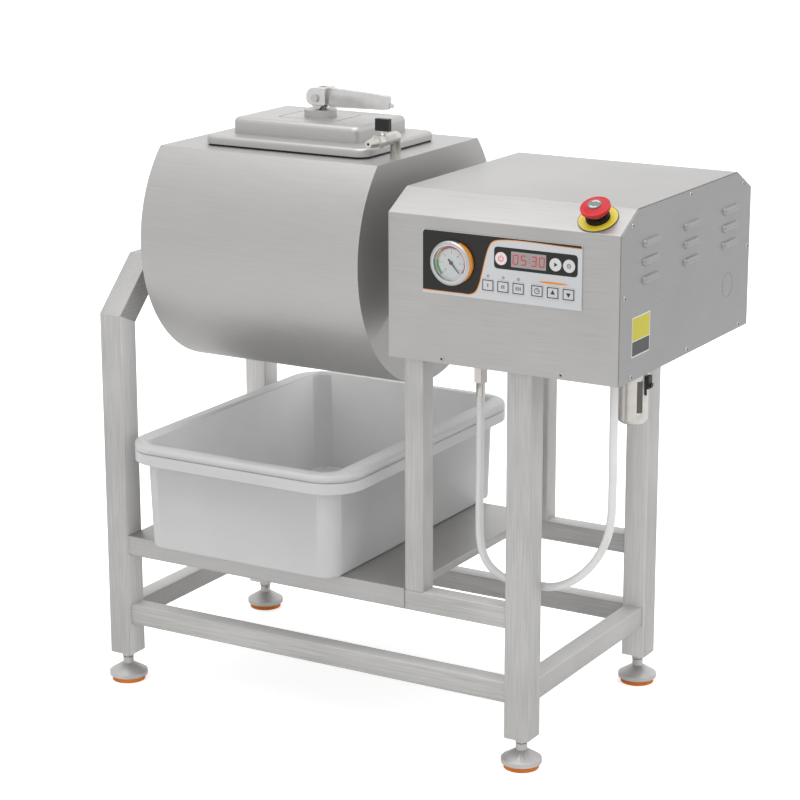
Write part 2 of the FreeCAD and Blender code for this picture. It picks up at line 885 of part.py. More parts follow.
def control_board():
    """Circuit board with the display block, a switch behind each key and four stand-offs."""
    x0, x1, z0, z1 = control_window_edges()
    y = board_front()
    board = block(x1 - x0 + 4, 1.6, z1 - z0 + 4, (x0 - 2, y, z0 - 2))
    display_face = box_front - cell("plate_sheet") + gap
    display = display_block(display_face, y - display_face, 0)
    switches = []
    for name in key_places():
        x, z, is_round = key_centre(name)
        switches.append(block(6, 4, 6, (x - 3, switch_front(), z - 3)))
    lugs = [cylinder(3, y - box_front - box_sheet, (x, box_front + box_sheet, z), "y")
            for x in (x0, x1) for z in (z0, z1)]
    lugs = [cut(lug, block(x1 - x0, 40, z1 - z0, (x0, box_front - 5, z0))) for lug in lugs]
    return fuse(board, display, *switches, *lugs)


def gauge_case():
    """The gauge's drawn case: a deep can behind the plate and a bezel ring in front of it."""
    x, z = gauge_centre()
    face = box_front - cell("plate_sheet")
    proud = cell("gauge_proud")
    can = cylinder(cell("gauge_case_radius"), cell("gauge_case_depth"), (x, face, z), "y")
    bezel = cylinder(cell("gauge_radius"), proud - 2, (x, face - proud + 2, z), "y")
    lip = cone(cell("gauge_radius"), cell("gauge_radius") - 2, 2, (x, face - proud + 2, z), "-y")
    well = cylinder(cell("gauge_dial_radius"), proud, (x, face - proud, z), "y")
    mouth = cylinder(cell("gauge_dial_radius"), proud + 2, (x, face - proud - 2, z), "y")
    pivot = cylinder(1 + running, 6, (x, face - 1, z), "y")
    stem_thread = cylinder(6.5, 14, (x, face + cell("gauge_case_depth"), z), "y")
    return cut(fuse(can, bezel, lip, stem_thread), well, mouth, pivot)


def gauge_dial():
    x, z = gauge_centre()
    face = box_front - cell("plate_sheet")
    disc = cylinder(cell("gauge_dial_radius"), 0.8, (x, face - 0.8, z), "y")
    return cut(disc, cylinder(1 + running, 3, (x, face - 2, z), "y"))


def gauge_needle():
    """A pointer with its counterweight tail, on an arbor through the dial."""
    x, z = gauge_centre()
    face = box_front - cell("plate_sheet")
    y = face - 2.6
    outline = [(-1.3, -6.5), (1.3, -6.5), (0.5, 18.5), (-0.5, 18.5)]
    points = [(Size.of(a), Size.of(b)) for a, b in outline]
    pointer = prism("XY_Plane", points, 0.6, (0, 0, 0))
    turn = Rotation(Vector(0, 1, 0), NEEDLE_REST) * Rotation(Vector(1, 0, 0), 90)
    pointer.Placement = Placement(Vector(), turn)
    move_to(pointer, (x, y + 0.6, z))
    hub = cylinder(2.6, 1.2, (x, y - 0.3, z), "y")
    arbor = cylinder(1, 5, (x, y, z), "y")
    return fuse(pointer, hub, arbor)


def gauge_lens():
    x, z = gauge_centre()
    face = box_front - cell("plate_sheet") - cell("gauge_proud")
    return fuse(cylinder(cell("gauge_dial_radius"), 1.6, (x, face + 0.6, z), "y"))


# ---------------------------------------------------------------- emergency stop
def on_slope(obj, rise=0.0):
    """Stand a piece, drawn about its own Z axis, on the middle of the box's front slope."""
    middle = Vector(float(FRAME_X + cell("stop_place")),
                    float(box_front + slope_run / 2), float(box_shoulder + slope_rise / 2))
    turn = Rotation(Vector(1, 0, 0), math.degrees(SLOPE))
    obj.Placement = Placement(middle + turn.multVec(Vector(0, 0, float(rise))), turn)
    return obj


def stop_hole():
    return on_slope(fuse(cylinder(cell("stop_stem_radius") + 3.2, 20, (0, 0, -10))))


def stop_base():
    """Legend disc and collar on the sheet, with the threaded barrel and ring nut below it."""
    stem = cell("stop_stem_radius")
    legend = cylinder(cell("stop_legend_radius"), 1.5, (0, 0, 0))
    collar = cylinder(cell("stop_collar_radius"), cell("stop_collar_height"), (0, 0, 1.5))
    barrel = cylinder(stem + 3, 34, (0, 0, -34))
    block_below = block(30, 30, 24, (-15, -15, -46))
    bore = cylinder(stem + running, 60, (0, 0, -34))
    return on_slope(cut(fuse(legend, collar, barrel, block_below), bore))


def stop_stem():
    """The sliding stem between the contact block and the head."""
    top = 1.5 + cell("stop_collar_height") + cell("stop_travel") + 1
    base = cylinder(cell("stop_stem_radius"), top + 22, (0, 0, -22))
    return on_slope(fuse(base))


def stop_button():
    """The mushroom head: a skirt, a domed crown and a shallow dish in its middle."""
    low = 1.5 + cell("stop_collar_height") + cell("stop_travel") + 1
    radius = cell("stop_head_radius")
    tall = cell("stop_head_height")
    skirt = cone(radius * 0.74, radius, tall * 0.42, (0, 0, low))
    crown = cylinder(radius, tall * 0.3, (0, 0, low + tall * 0.42))
    ball = doc.addObject("Part::Sphere", "Crown")
    dome_radius = radius * 1.9
    bind(ball, "Radius", dome_radius)
    move_to(ball, (0, 0, low + tall - dome_radius))
    cap = common(ball, cylinder(radius, tall, (0, 0, low + tall * 0.42)))
    dish = cylinder(7.5, 1, (0, 0, low + tall - 0.8))
    return on_slope(cut(fuse(skirt, crown, cap), dish))


def build_controls():
    node("control_panel", control_plate())
    node("control_board", control_board())
    for name in key_places():
        node(name, key(name))
    node("gauge_case", gauge_case())
    node("gauge_dial", gauge_dial())
    node("gauge_needle", gauge_needle())
    node("gauge_lens", gauge_lens())
    node("stop_base", stop_base())
    node("stop_stem", stop_stem())
    node("stop_button", stop_button())


# ---------------------------------------------------------------- drum
def drum_form(x, length, inset):
    """The drum's solid form: a cylinder along X with its top cut flat, drawn in by an inset."""
    radius = cell("drum_radius") - inset
    flat = cell("drum_flat") - inset
    barrel = cylinder(radius, length, (x, AXLE_Y, axle_height), "x")
    keep = block(length, 2 * radius, radius + flat, (x, AXLE_Y - radius, axle_height - radius))
    return common(barrel, keep)


def drum_shell():
    """The rolled shell with the rounded mouth cut in its flat top."""
    end = cell("drum_end_wall")
    x = FRAME_X + cell("drum_place") + end
    length = cell("drum_length") - 2 * end
    mouth_z = flat_height - cell("drum_wall") - 2
    mouth = slab(cell("mouth_length"), cell("mouth_width"), cell("drum_wall") + 4, cell("mouth_corner"),
                 (pan_middle(), AXLE_Y, mouth_z))
    return cut(drum_form(x, length, Size.of(0)), drum_form(x - 1, length + 2, cell("drum_wall")), mouth)


def pan_middle():
    return FRAME_X + cell("drum_place") + cell("drum_length") / 2


def drum_left_end():
    """Left end plate with its welded hub and the stub shaft that turns in the pillow block."""
    x = FRAME_X + cell("drum_place")
    thick = cell("drum_end_wall")
    plate = drum_form(x, thick, Size.of(0))
    hub = cylinder(cell("hub_radius"), cell("hub_height"), (x - cell("hub_height"), AXLE_Y, axle_height), "x")
    reach = cell("drum_place") - 3
    shaft = cylinder(cell("left_shaft_radius"), reach, (x - reach, AXLE_Y, axle_height), "x")
    return fuse(plate, hub, shaft)


def drum_right_end():
    """Right end plate, hub and the hollow shaft that carries the gear and the vacuum line."""
    thick = cell("drum_end_wall")
    x = FRAME_X + cell("drum_place") + cell("drum_length") - thick
    plate = drum_form(x, thick, Size.of(0))
    hub = cylinder(cell("hub_radius"), cell("hub_height"), (x + thick, AXLE_Y, axle_height), "x")
    tip = gear_x() + cell("gear_width") + 22
    shaft = cylinder(cell("right_shaft_radius"), tip - x, (x, AXLE_Y, axle_height), "x")
    bore = cylinder(cell("vacuum_bore"), tip - x + 2, (x - 1, AXLE_Y, axle_height), "x")
    return cut(fuse(plate, hub, shaft), bore)


def drum_baffles():
    """Three folded paddles along the shell's inner wall, evenly spread below the mouth."""
    end = cell("drum_end_wall")
    length = cell("drum_length") - 2 * end
    x = FRAME_X + cell("drum_place") + end
    inner = cell("drum_radius") - cell("drum_wall") - gap
    sheet_half = cell("baffle_sheet")
    paddles = []
    for angle in (-90, 0, 90):
        fin = block(length, sheet_half * 2, cell("baffle_height"), (0, -sheet_half, -inner))
        turned = group(fin)
        turned.Placement = Placement(Vector(float(x), float(AXLE_Y), float(axle_height)),
                                     Rotation(Vector(1, 0, 0), angle))
        paddles.append(turned)
    return group(*paddles)


# ---------------------------------------------------------------- bearings and drive
def left_bearing():
    """Pillow block on the top beam: foot, housing with its bore and two bolts."""
    radius = cell("left_shaft_radius")
    width = leg * 0.84
    x = FRAME_X + (leg - width) / 2
    base_z = cell("portal_top")
    rise = axle_height - base_z
    foot_long = cell("bearing_foot_length")
    foot_high = cell("bearing_foot_height")
    housing = cell("bearing_radius")
    foot_plate = block(width, foot_long, foot_high, (x, AXLE_Y - foot_long / 2, base_z))
    pedestal = block(width - 8, 2 * housing, rise, (x + 4, AXLE_Y - housing, base_z))
    ring = cylinder(housing, width - 8, (x + 4, AXLE_Y, axle_height), "x")
    bore = cylinder(radius + running, width + 4, (x - 2, AXLE_Y, axle_height), "x")
    bolt_y = cell("bearing_pitch") / 2
    bolts = [hexagon(14, 7, (x + width / 2, AXLE_Y + side * bolt_y, base_z + foot_high))
             for side in (-1, 1)]
    return group(cut(fuse(foot_plate, pedestal, ring), bore), *bolts)


def right_bearing():
    """Flange unit bolted to the inside of the box's left wall."""
    x = box_x + box_sheet
    radius = cell("right_shaft_radius")
    flange = block(12, 96, 96, (x, AXLE_Y - 48, axle_height - 48))
    boss = cylinder(38, 24, (x, AXLE_Y, axle_height), "x")
    bore = cylinder(radius + running, 30, (x - 2, AXLE_Y, axle_height), "x")
    bolts = [hexagon(14, 7, (x + 12, AXLE_Y + a * 37, axle_height + b * 37), "x")
             for a in (-1, 1) for b in (-1, 1)]
    return group(cut(fuse(flange, boss), bore), *bolts)


def gear_x():
    return box_x + box_sheet + 24 + 6


def gear_centres():
    return cell("gear_module") * (cell("gear_teeth") + cell("pinion_teeth")) / 2


def involute_gear(teeth, module, width, bore, turn):
    """A spur gear along +X: involute flanks at a 20 degree pressure angle, made tooth by tooth."""
    pitch = module * teeth / 2
    base = pitch * math.cos(math.radians(20))
    tip = pitch + module
    root = pitch - 1.25 * module
    backlash = 0.06 * module
    half_pitch = math.pi / (2 * teeth) - backlash / (2 * pitch)

    def roll(radius):
        ratio = base / radius if radius > base else 1.0
        pressure = math.acos(ratio)
        return math.tan(pressure) - pressure

    at_pitch = roll(pitch)
    radii = [max(base, root)] + [base + (tip - base) * k / 4 for k in (1, 2, 3, 4)]
    flank = [(r, half_pitch + at_pitch - roll(r)) for r in radii]
    points = []
    for tooth in range(int(teeth)):
        middle = 2 * math.pi * tooth / teeth + turn
        side = [(root, -flank[0][1])] + [(r, -a) for r, a in flank]
        side += [(r, a) for r, a in reversed(flank)] + [(root, flank[0][1])]
        points += [(r, middle + a) for r, a in side]
    corners = [Vector(0, r * math.cos(a), r * math.sin(a)) for r, a in points]
    face = Part.Face(Part.makePolygon(corners + corners[:1]))
    solid = face.extrude(Vector(width, 0, 0))
    return solid.cut(Part.makeCylinder(bore, width + 2, Vector(-1, 0, 0), Vector(1, 0, 0)))


def gear_feature(name, shape, at):
    obj = doc.addObject("Part::Feature", name)
    obj.Shape = shape
    obj.Placement = Placement(Vector(*[float(v) for v in at]), Rotation())
    return obj


def drum_gear():
    shape = involute_gear(cell("gear_teeth").value, cell("gear_module").value, cell("gear_width").value,
                          cell("right_shaft_radius").value, 0.0)
    return gear_feature("Gear", shape, (gear_x(), AXLE_Y, axle_height))


def motor_pinion():
    """The pinion with its shaft stub, a tooth gap facing the drum gear."""
    teeth = cell("pinion_teeth").value
    shape = involute_gear(teeth, cell("gear_module").value, cell("gear_width").value,
                          cell("pinion_shaft_radius").value, math.pi + math.pi / teeth)
    pinion = gear_feature("Pinion", shape, (gear_x(), AXLE_Y + gear_centres(), axle_height))
    shaft = cylinder(cell("pinion_shaft_radius"), cell("gear_width") + 34,
                     (gear_x() - 4, AXLE_Y + gear_centres(), axle_height), "x")
    return fuse(pinion, shaft)


def gearmotor():
    """Gear head on its bracket, with the motor and its cooling ribs behind it."""
    x = gear_x() + cell("gear_width") + 8
    y = AXLE_Y + gear_centres()
    floor = box_floor + box_sheet
    head = block(52, 96, 96, (x, y - 48, axle_height - 48))
    bracket = block(46, 80, axle_height - 48 - floor, (x + 3, y - 40, floor))
    motor = cylinder(cell("motor_radius"), cell("motor_length"), (x + 52, y, axle_height), "x")
    ribs = [cylinder(cell("motor_radius") + 4, 5, (x + 62 + 18 * k, y, axle_height), "x") for k in range(5)]
    bore = cylinder(cell("pinion_shaft_radius") + running, 26, (x - 1, y, axle_height), "x")
    return cut(fuse(head, bracket, motor, *ribs), bore)


def vacuum_pump():
    """Oil-less pump on rubber-footed rails: motor in the middle and a finned head at each end."""
    x = box_x + cell("pump_place")
    radius = cell("pump_radius")
    y = hose_plane() + cell("ferrule_radius") + radius + 4
    floor = box_floor + box_sheet
    length = cell("pump_length")
    rail_high = cell("pump_rail_height")
    axis_z = floor + radius + rail_high
    rails = [block(length, 10, rail_high, (x, y + side, floor)) for side in (-30, 20)]
    body = cylinder(radius, length - 72, (x + 36, y, axis_z), "x")
    ends = [block(34, 70, 78, (end, y - 35, floor + rail_high - 2)) for end in (x + 4, x + length - 38)]
    fins = [block(3, 76, 60, (x + 8 + 7 * k, y - 38, floor + 26)) for k in range(4)]
    fins += [block(3, 76, 60, (x + length - 34 + 7 * k, y - 38, floor + 26)) for k in range(4)]
    port = cylinder(6, 14, (x + 21, y, floor + 90), "z")
    return fuse(*rails, body, *ends, *fins, port)


def build_drum():
    node("drum_shell", drum_shell())
    node("drum_left_end", drum_left_end())
    node("drum_right_end", drum_right_end())
    node("drum_baffles", drum_baffles())
    node("left_bearing", left_bearing())
    node("right_bearing", right_bearing())
    node("drum_gear", drum_gear())
    node("motor_pinion", motor_pinion())
    node("gearmotor", gearmotor())
    node("vacuum_pump", vacuum_pump())


# ---------------------------------------------------------------- lid and clamp
def lid_floor():
    return flat_height + cell("seal_height")


def pan_top():
    return lid_floor() + cell("lid_flange_height") + cell("pan_height")


def flange_middle():
    return FRAME_X + cell("lid_place"), AXLE_Y - cell("lid_forward")


def lid_plate():
    """A pressed lid: flange with down-turned edges and a raised pan, one even sheet throughout."""
    sheet_t = cell("lid_sheet")
    flange_x, flange_y = flange_middle()
    z = lid_floor()

    def press(inset):
        flange = slab(cell("lid_length") - 2 * inset, cell("lid_width") - 2 * inset,
                      cell("lid_flange_height") - inset, cell("lid_corner") - inset,
                      (flange_x, flange_y, z), 5.0 - inset)
        pan = slab(cell("pan_length") - 2 * inset, cell("pan_width") - 2 * inset,
                   cell("lid_flange_height") + cell("pan_height") - inset,
                   cell("pan_corner") - inset, (pan_middle(), AXLE_Y, z), 8.0 - inset)
        return fuse(flange, pan)

    tread = cut(slab(100, 76, 3, 4, (pan_middle(), AXLE_Y, pan_top() - 0.6)),
                slab(96, 72, 5, 3, (pan_middle(), AXLE_Y, pan_top() - 2)))
    stud_hole = cylinder(cell("stud_radius") + running, 20, (clamp_middle(), AXLE_Y, pan_top() - 10))
    return cut(press(Size.of(0)), press(sheet_t), tread, stud_hole)


def lid_seal():
    """The square-section gasket under the flange's edge."""
    inset = cell("seal_inset")
    length = cell("lid_length") - 2 * inset
    width = cell("lid_width") - 2 * inset
    wide = cell("seal_width")
    place = (*flange_middle(), flat_height)
    hollow_place = (*flange_middle(), flat_height - 1)
    corner = cell("lid_corner") - inset
    return cut(slab(length, width, cell("seal_height"), corner, place),
               slab(length - 2 * wide, width - 2 * wide, cell("seal_height") + 2, corner - wide * 0.6,
                    hollow_place))


def boss_floor():
    return pan_top() + cell("face_gap")


def boss_top():
    return boss_floor() + cell("boss_height")


def clamp_middle():
    return pan_middle() + cell("clamp_shift")


def lid_boss():
    """The round turning boss that the cam bears on, with a flat-bottomed slot round the stud."""
    disc = cylinder(cell("boss_radius"), cell("boss_height"), (clamp_middle(), AXLE_Y, boss_floor()))
    return cut(disc, cylinder(cell("stud_radius") + running, cell("boss_height") + 2,
                              (clamp_middle(), AXLE_Y, pan_top() - 1)))


def cam_centre_z():
    """The pin's height: the cam's lowest point is just clear of the boss."""
    return boss_top() + cell("cam_radius") + cell("cam_drop") + cell("face_gap")


def clamp_bar():
    """The stud through the lid with its eye above, and the bar that it draws against the flat."""
    x = clamp_middle()
    bar_top = flat_height - cell("drum_wall") - gap
    bar = slab(cell("clamp_bar_length"), cell("clamp_bar_width"), cell("clamp_bar_height"), 6,
               (x, AXLE_Y, bar_top - cell("clamp_bar_height")))
    low = bar_top - cell("clamp_bar_height")
    stud = cylinder(cell("stud_radius"), cam_centre_z() - low, (x, AXLE_Y, low))
    eye = cylinder(9, 11.6, (x, AXLE_Y - 5.8, cam_centre_z()), "y")
    pin_hole = cylinder(cell("lever_pin_radius"), 30, (x, AXLE_Y - 15, cam_centre_z()), "y")
    return cut(fuse(bar, stud, eye), pin_hole)


def lever_pin():
    """The cross pin with a hexagon head at the front and a nut at the back."""
    x = clamp_middle()
    half = cell("lever_width") / 2
    z = cam_centre_z()
    shank = cylinder(cell("lever_pin_radius"), 2 * half + 6, (x, AXLE_Y - half - 3, z), "y")
    head = hexagon(10.6, 3.4, (x, AXLE_Y - half - 3.4 - 0.1, z), "y")
    nut = hexagon(10.6, 3.4, (x, AXLE_Y + half + 0.1, z), "y")
    return fuse(shank, head, nut)


def cam_lever():
    """Forked cam lever: two cheeks with a round lobe inside each, a closed yoke and a slim arm."""
    x = clamp_middle()
    z = cam_centre_z()
    width = cell("lever_width")
    arm_width = cell("lever_arm_width")
    radius = cell("cam_radius")
    reach = cell("lever_reach")
    yoke = cell("lever_yoke_length")
    front = AXLE_Y - width / 2
    outline = [(Size.of(-14.1), Size.of(8.5)), (Size.of(-11.4), Size.of(12.2)), (Size.of(-7), Size.of(14.8)),
               (Size.of(0), Size.of(15.8)), (yoke, Size.of(15.8)), (yoke, Size.of(-7.5)),
               (yoke - 3, Size.of(-10.2)), (Size.of(-6), Size.of(-10.2)), (Size.of(-10.5), Size.of(-9.2)),
               (Size.of(-14), Size.of(-6)), (Size.of(-15.5), Size.of(-2)), (Size.of(-15.6), Size.of(3.5))]
    cheeks = prism("XZ_Plane", outline, width, (x, front + width, z))
    lobe = cylinder(radius, width - 8, (x, front + 4, z - cell("cam_drop")), "y")
    top = [(yoke - 3, Size.of(15.2)), (yoke - 3, Size.of(-10.2)), (Size.of(20), Size.of(-13.0)),
           (Size.of(35), Size.of(-12.6)), (Size.of(72), Size.of(-11.6)), (Size.of(106), Size.of(-11.0)),
           (reach - 4, Size.of(-10.2)), (reach, Size.of(-7.4)), (reach, Size.of(7.6)),
           (reach - 4, Size.of(9.8)), (reach - 17, Size.of(10.8)), (Size.of(29), Size.of(14.8))]
    arm = prism("XZ_Plane", top, arm_width, (x, AXLE_Y + arm_width / 2, z))
    slot_half = cell("stud_radius") + 0.5
    slot = block(30, 2 * slot_half, 40, (x - 20, AXLE_Y - slot_half, z - 20))
    nub = cylinder(3.4, 5, (x + reach + 2, AXLE_Y - 2.5, z - 4.2), "y")
    bore = cylinder(cell("lever_pin_radius") + running, width + 4, (x, front - 2, z), "y")
    return cut(fuse(cheeks, lobe, arm, nub), slot, bore)


# ---------------------------------------------------------------- vent valve
def valve_axis():
    return (FRAME_X + cell("valve_place_x"), FRAME_Y + cell("valve_place_y"),
            flat_height + cell("valve_riser_height"))


def vent_valve():
    """A small angle valve: riser from the drum's flat, elbow, hexagon and an open nozzle."""
    x, y, z = valve_axis()
    body_radius = cell("valve_body_radius")
    reach = cell("valve_reach")
    riser = cylinder(cell("valve_riser_radius"), cell("valve_riser_height"), (x, y, flat_height))
    elbow = doc.addObject("Part::Sphere", "Elbow")
    bind(elbow, "Radius", body_radius)
    move_to(elbow, (x, y, z))
    body = cylinder(body_radius, reach - 20, (x, y, z), "-y")
    hex_part = hexagon(body_radius * 2.1, 11, (x, y - reach + 33, z), "-y")
    nozzle = cone(body_radius * 0.95, body_radius * 0.62, 22, (x, y - reach + 22, z), "-y")
    neck = cylinder(4.5, 13.4, (x, y - 34, z))
    bore = cylinder(cell("valve_bore"), 24, (x, y - reach - 1, z), "y")
    return cut(fuse(riser, elbow, body, hex_part, nozzle, neck), bore)


def valve_handle():
    """The black lever on the valve's spindle, across the body when shut."""
    x, y, z = valve_axis()
    y = y - 34
    long = cell("valve_handle_length")
    base = z + 13.4 + cell("face_gap")
    grip = block(long, cell("valve_handle_width"), cell("valve_handle_height"),
                 (x - long / 2, y - cell("valve_handle_width") / 2, base))
    return fuse(grip)


def build_lid():
    node("lid_plate", lid_plate())
    node("lid_seal", lid_seal())
    node("lid_boss", lid_boss())
    node("clamp_bar", clamp_bar())
    node("lever_pin", lever_pin())
    node("cam_lever", cam_lever())
    node("vent_valve", vent_valve())
    node("valve_handle", valve_handle())


# ---------------------------------------------------------------- filter, hose and tub
def filter_axis():
    return (FRAME_X + cell("filter_place_x"), FRAME_Y + cell("filter_place_y"))


def filter_head():
    """The round flange under the box that the bowl twists into."""
    x, y = filter_axis()
    high = cell("filter_head_height")
    return fuse(cylinder(cell("filter_radius"), high, (x, y, box_floor - high)))


def filter_bowl():
    """The bowl guard: a cup with a chamfered bottom and a tall sight window through its wall."""
    x, y = filter_axis()
    radius = cell("filter_radius")
    top = box_floor - cell("filter_head_height") - cell("face_gap")
    low = box_floor - cell("filter_drop")
    chamfer = 5
    cup = fuse(cone(radius - chamfer, radius, chamfer, (x, y, low)),
               cylinder(radius, top - low - chamfer, (x, y, low + chamfer)))
    hollow = cylinder(radius - 2, top - low, (x, y, low + 3))
    window = fuse(block(9, radius + 4, 44, (-4.5, -radius - 4, 0)))
    window.Placement = Placement(Vector(float(x), float(y), float(low + 17)),
                                 Rotation(Vector(0, 0, 1), cell("filter_window_turn").value))
    liner = cut(cylinder(radius - 1.5, top - low - 4, (x, y, low + 2.5)),
                cylinder(radius - 4, top - low, (x, y, low + 5)))
    return fuse(cut(cup, hollow, window), liner)


def filter_latch():
    """The black sliding lock on the bowl's right side, with a thumb step and a thin tongue."""
    x, y = filter_axis()
    face = x + cell("filter_radius") + 0.1
    front = y - 6
    low = box_floor - 22
    body = block(5, 11, 17.8, (face, front, low))
    thumb = block(7, 7, 5, (face, front + 4, low + 2))
    tongue = block(1.6, 3, 10, (face, front, low - 9))
    return fuse(body, thumb, tongue)


def hose_plane():
    return FRAME_Y + cell("hose_setback")


def hose_ends():
    """Where the hose's two fittings pass the box floor."""
    y = hose_plane()
    return [(FRAME_X + cell("hose_left_place"), y), (FRAME_X + cell("hose_right_place"), y)]


def hose_fittings():
    left, right = hose_ends()
    hex_long = cell("fitting_length")
    pieces = []
    short = cell("right_fitting_length"), cell("right_ferrule_length")
    for (x, y), (visible, collar) in ((left, (hex_long, cell("ferrule_length"))), (right, short)):
        nut = hexagon(cell("fitting_hex"), visible, (x, y, box_floor - visible))
        stub = cylinder(cell("ferrule_radius") - 0.1, cell("port_stub_height"), (x, y, box_floor))
        ferrule = cylinder(cell("ferrule_radius"), collar, (x, y, box_floor - visible - collar))
        pieces.append(fuse(nut, stub, ferrule))
    return group(*pieces)


def hose_route():
    """The hanging hose's route in its own upright plane, as shares of its span and of its height."""
    left, right = hose_ends()
    y = hose_plane()
    span = right[0] - left[0]
    top_left = box_floor - cell("fitting_length") - cell("ferrule_length")
    top_right = box_floor - cell("right_fitting_length") - cell("right_ferrule_length")
    shares = [(0.0, 0.7826), (-0.0044, 0.647), (-0.0025, 0.5096), (0.1599, 0.453), (0.4009, 0.4487),
              (0.6419, 0.4581), (0.8731, 0.5252), (0.9995, 0.6209), (1.0025, 0.7443), (1.0, 0.8696)]
    points = [(left[0], y, top_left)]
    points += [(left[0] + span * across, y, box_floor * up) for across, up in shares]
    points.append((right[0], y, top_right))
    return [Vector(*[float(v) for v in point]) for point in points]


def hose():
    """A round tube along straight runs joined by tangent arcs as large as the runs allow."""
    points = hose_route()
    edges = []
    radii = []
    start = points[0]
    for before, corner, after in zip(points, points[1:], points[2:]):
        run_in = corner - before
        run_out = after - corner
        turn = run_in.getAngle(run_out)
        trim = 0.45 * min(run_in.Length, run_out.Length)
        radii.append(trim / math.tan(turn / 2))
        first = corner - run_in.normalize() * trim
        last = corner + run_out.normalize() * trim
        middle = corner + ((first + last) / 2 - corner) * bulge(turn)
        edges.append(Part.LineSegment(start, first).toShape())
        edges.append(Part.Arc(first, middle, last).toShape())
        start = last
    edges.append(Part.LineSegment(start, points[-1]).toShape())
    path = Part.Wire(edges)
    radius = cell("hose_radius").value
    ring = Part.Wire(Part.makeCircle(radius, points[0], points[1] - points[0]))
    solid = path.makePipeShell([ring], True, False)
    obj = doc.addObject("Part::Feature", "Hose")
    obj.Shape = solid
    share = solid.Volume / (math.pi * radius * radius * path.Length)
    print("hose: length %.1f, volume share %.4f, radii %s"
          % (path.Length, share, " ".join("%.0f" % r for r in radii)))
    return obj


def bulge(turn):
    """How far an arc's middle stands from its corner, as a share of the chord's distance to it."""
    half = turn / 2
    return (1 / math.cos(half) - 1) / (math.tan(half) * math.sin(half))


def tub():
    """A deep plastic tub: drafted walls, rounded corners and a double-lipped rim."""
    x = FRAME_X + cell("tub_place")
    y = FRAME_Y + frame_depth / 2 + cell("tub_setback")
    z = shelf_top
    width, length = cell("tub_base_width"), cell("tub_base_length")
    high = cell("tub_height")
    flare = cell("tub_flare")
    corner = cell("tub_corner")
    wall = cell("tub_wall")
    draft = math.degrees(math.atan2(flare.value, high.value))

    def bucket(inset, lift):
        body = doc.addObject("PartDesign::Body", "Bucket")
        sketch = outline_sketch(body, "XY_Plane", rectangle(width - 2 * inset, length - 2 * inset))
        pad = padded(body, sketch, high - lift + (inset if inset.value else 0))
        pad.TaperAngle = draft
        last = rounded(body, pad, lambda e: e.BoundBox.ZLength > high.value * 0.5, corner - inset)
        doc.recompute()
        rounded(body, last, lambda e: e.BoundBox.ZMax < 1e-6, cell("tub_foot_round") - inset)
        move_to(body, (x, y, z + lift))
        return body

    wide = width + 2 * cell("tub_rim_reach")
    long = length + 2 * cell("tub_rim_reach_end")
    turn = corner + cell("tub_rim_reach")
    low = cell("tub_rim_low")
    groove = cell("tub_groove")
    lower = slab(wide, long, groove - low - 1, turn, (x, y, z + low), 2.5)
    neck = slab(wide - 5, long - 5, 2, turn - 2.5, (x, y, z + groove - 1.5))
    upper = slab(wide, long, high - groove, turn, (x, y, z + groove), 5)
    under = cut(slab(wide - 6, long - 6, high - low - 5, turn - 3, (x, y, z + low - 1)),
                slab(width + 8, length + 8, high, corner + 4, (x, y, z + low - 2)))
    shell = fuse(bucket(Size.of(0), Size.of(0)), cut(fuse(lower, neck, upper), under))
    inset = cell("tub_drain_inset")
    drain = cylinder(cell("tub_drain_radius"), wall + 4, (x - width / 2 + inset, y + length / 2 - inset, z - 2))
    return cut(shell, bucket(wall, wall), drain)


def build_loose_parts():
    node("filter_head", filter_head())
    node("filter_bowl", filter_bowl())
    node("filter_latch", filter_latch())
    node("hose_fittings", hose_fittings())
    node("hose", hose())
    node("tub", tub())


# ---------------------------------------------------------------- whole machine
def check_document():
    for obj in doc.Objects:
        bad = {"Invalid", "Error"} & set(obj.State)
        if bad:
            raise RuntimeError("%s (%s) is %s" % (obj.Name, obj.Label, bad))
    for name, obj in nodes.items():
        shape = obj.Shape
        if shape.isNull() or not shape.isValid() or not shape.Solids:
            raise RuntimeError("%s has no valid solid" % name)


def export():
    os.makedirs("parts", exist_ok=True)
    for name, obj in nodes.items():
        obj.Shape.exportStep(os.path.join("parts", name + ".step"))
    print("%d nodes written" % len(nodes))


build_frame()
build_box()
build_controls()
build_drum()
build_lid()
build_loose_parts()
doc.recompute()
check_document()
export()
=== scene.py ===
# %% [markdown]
# # A small vacuum tumbler for meat, dressed in Blender
#
# The machine is a stainless steel frame that carries a slowly turning drum on its left and a sheet steel
# control box on its right. A plastic tub stands on the shelf under the drum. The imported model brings
# every solid part to its place, in metres, so this lesson only adds what the eye wants: rounded edges,
# finishes, printed markings and the small fittings. We load the model first and keep its box, because
# every place below is worked out from it.

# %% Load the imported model
import json
import math

import bmesh
import bpy
from mathutils import Matrix, Vector


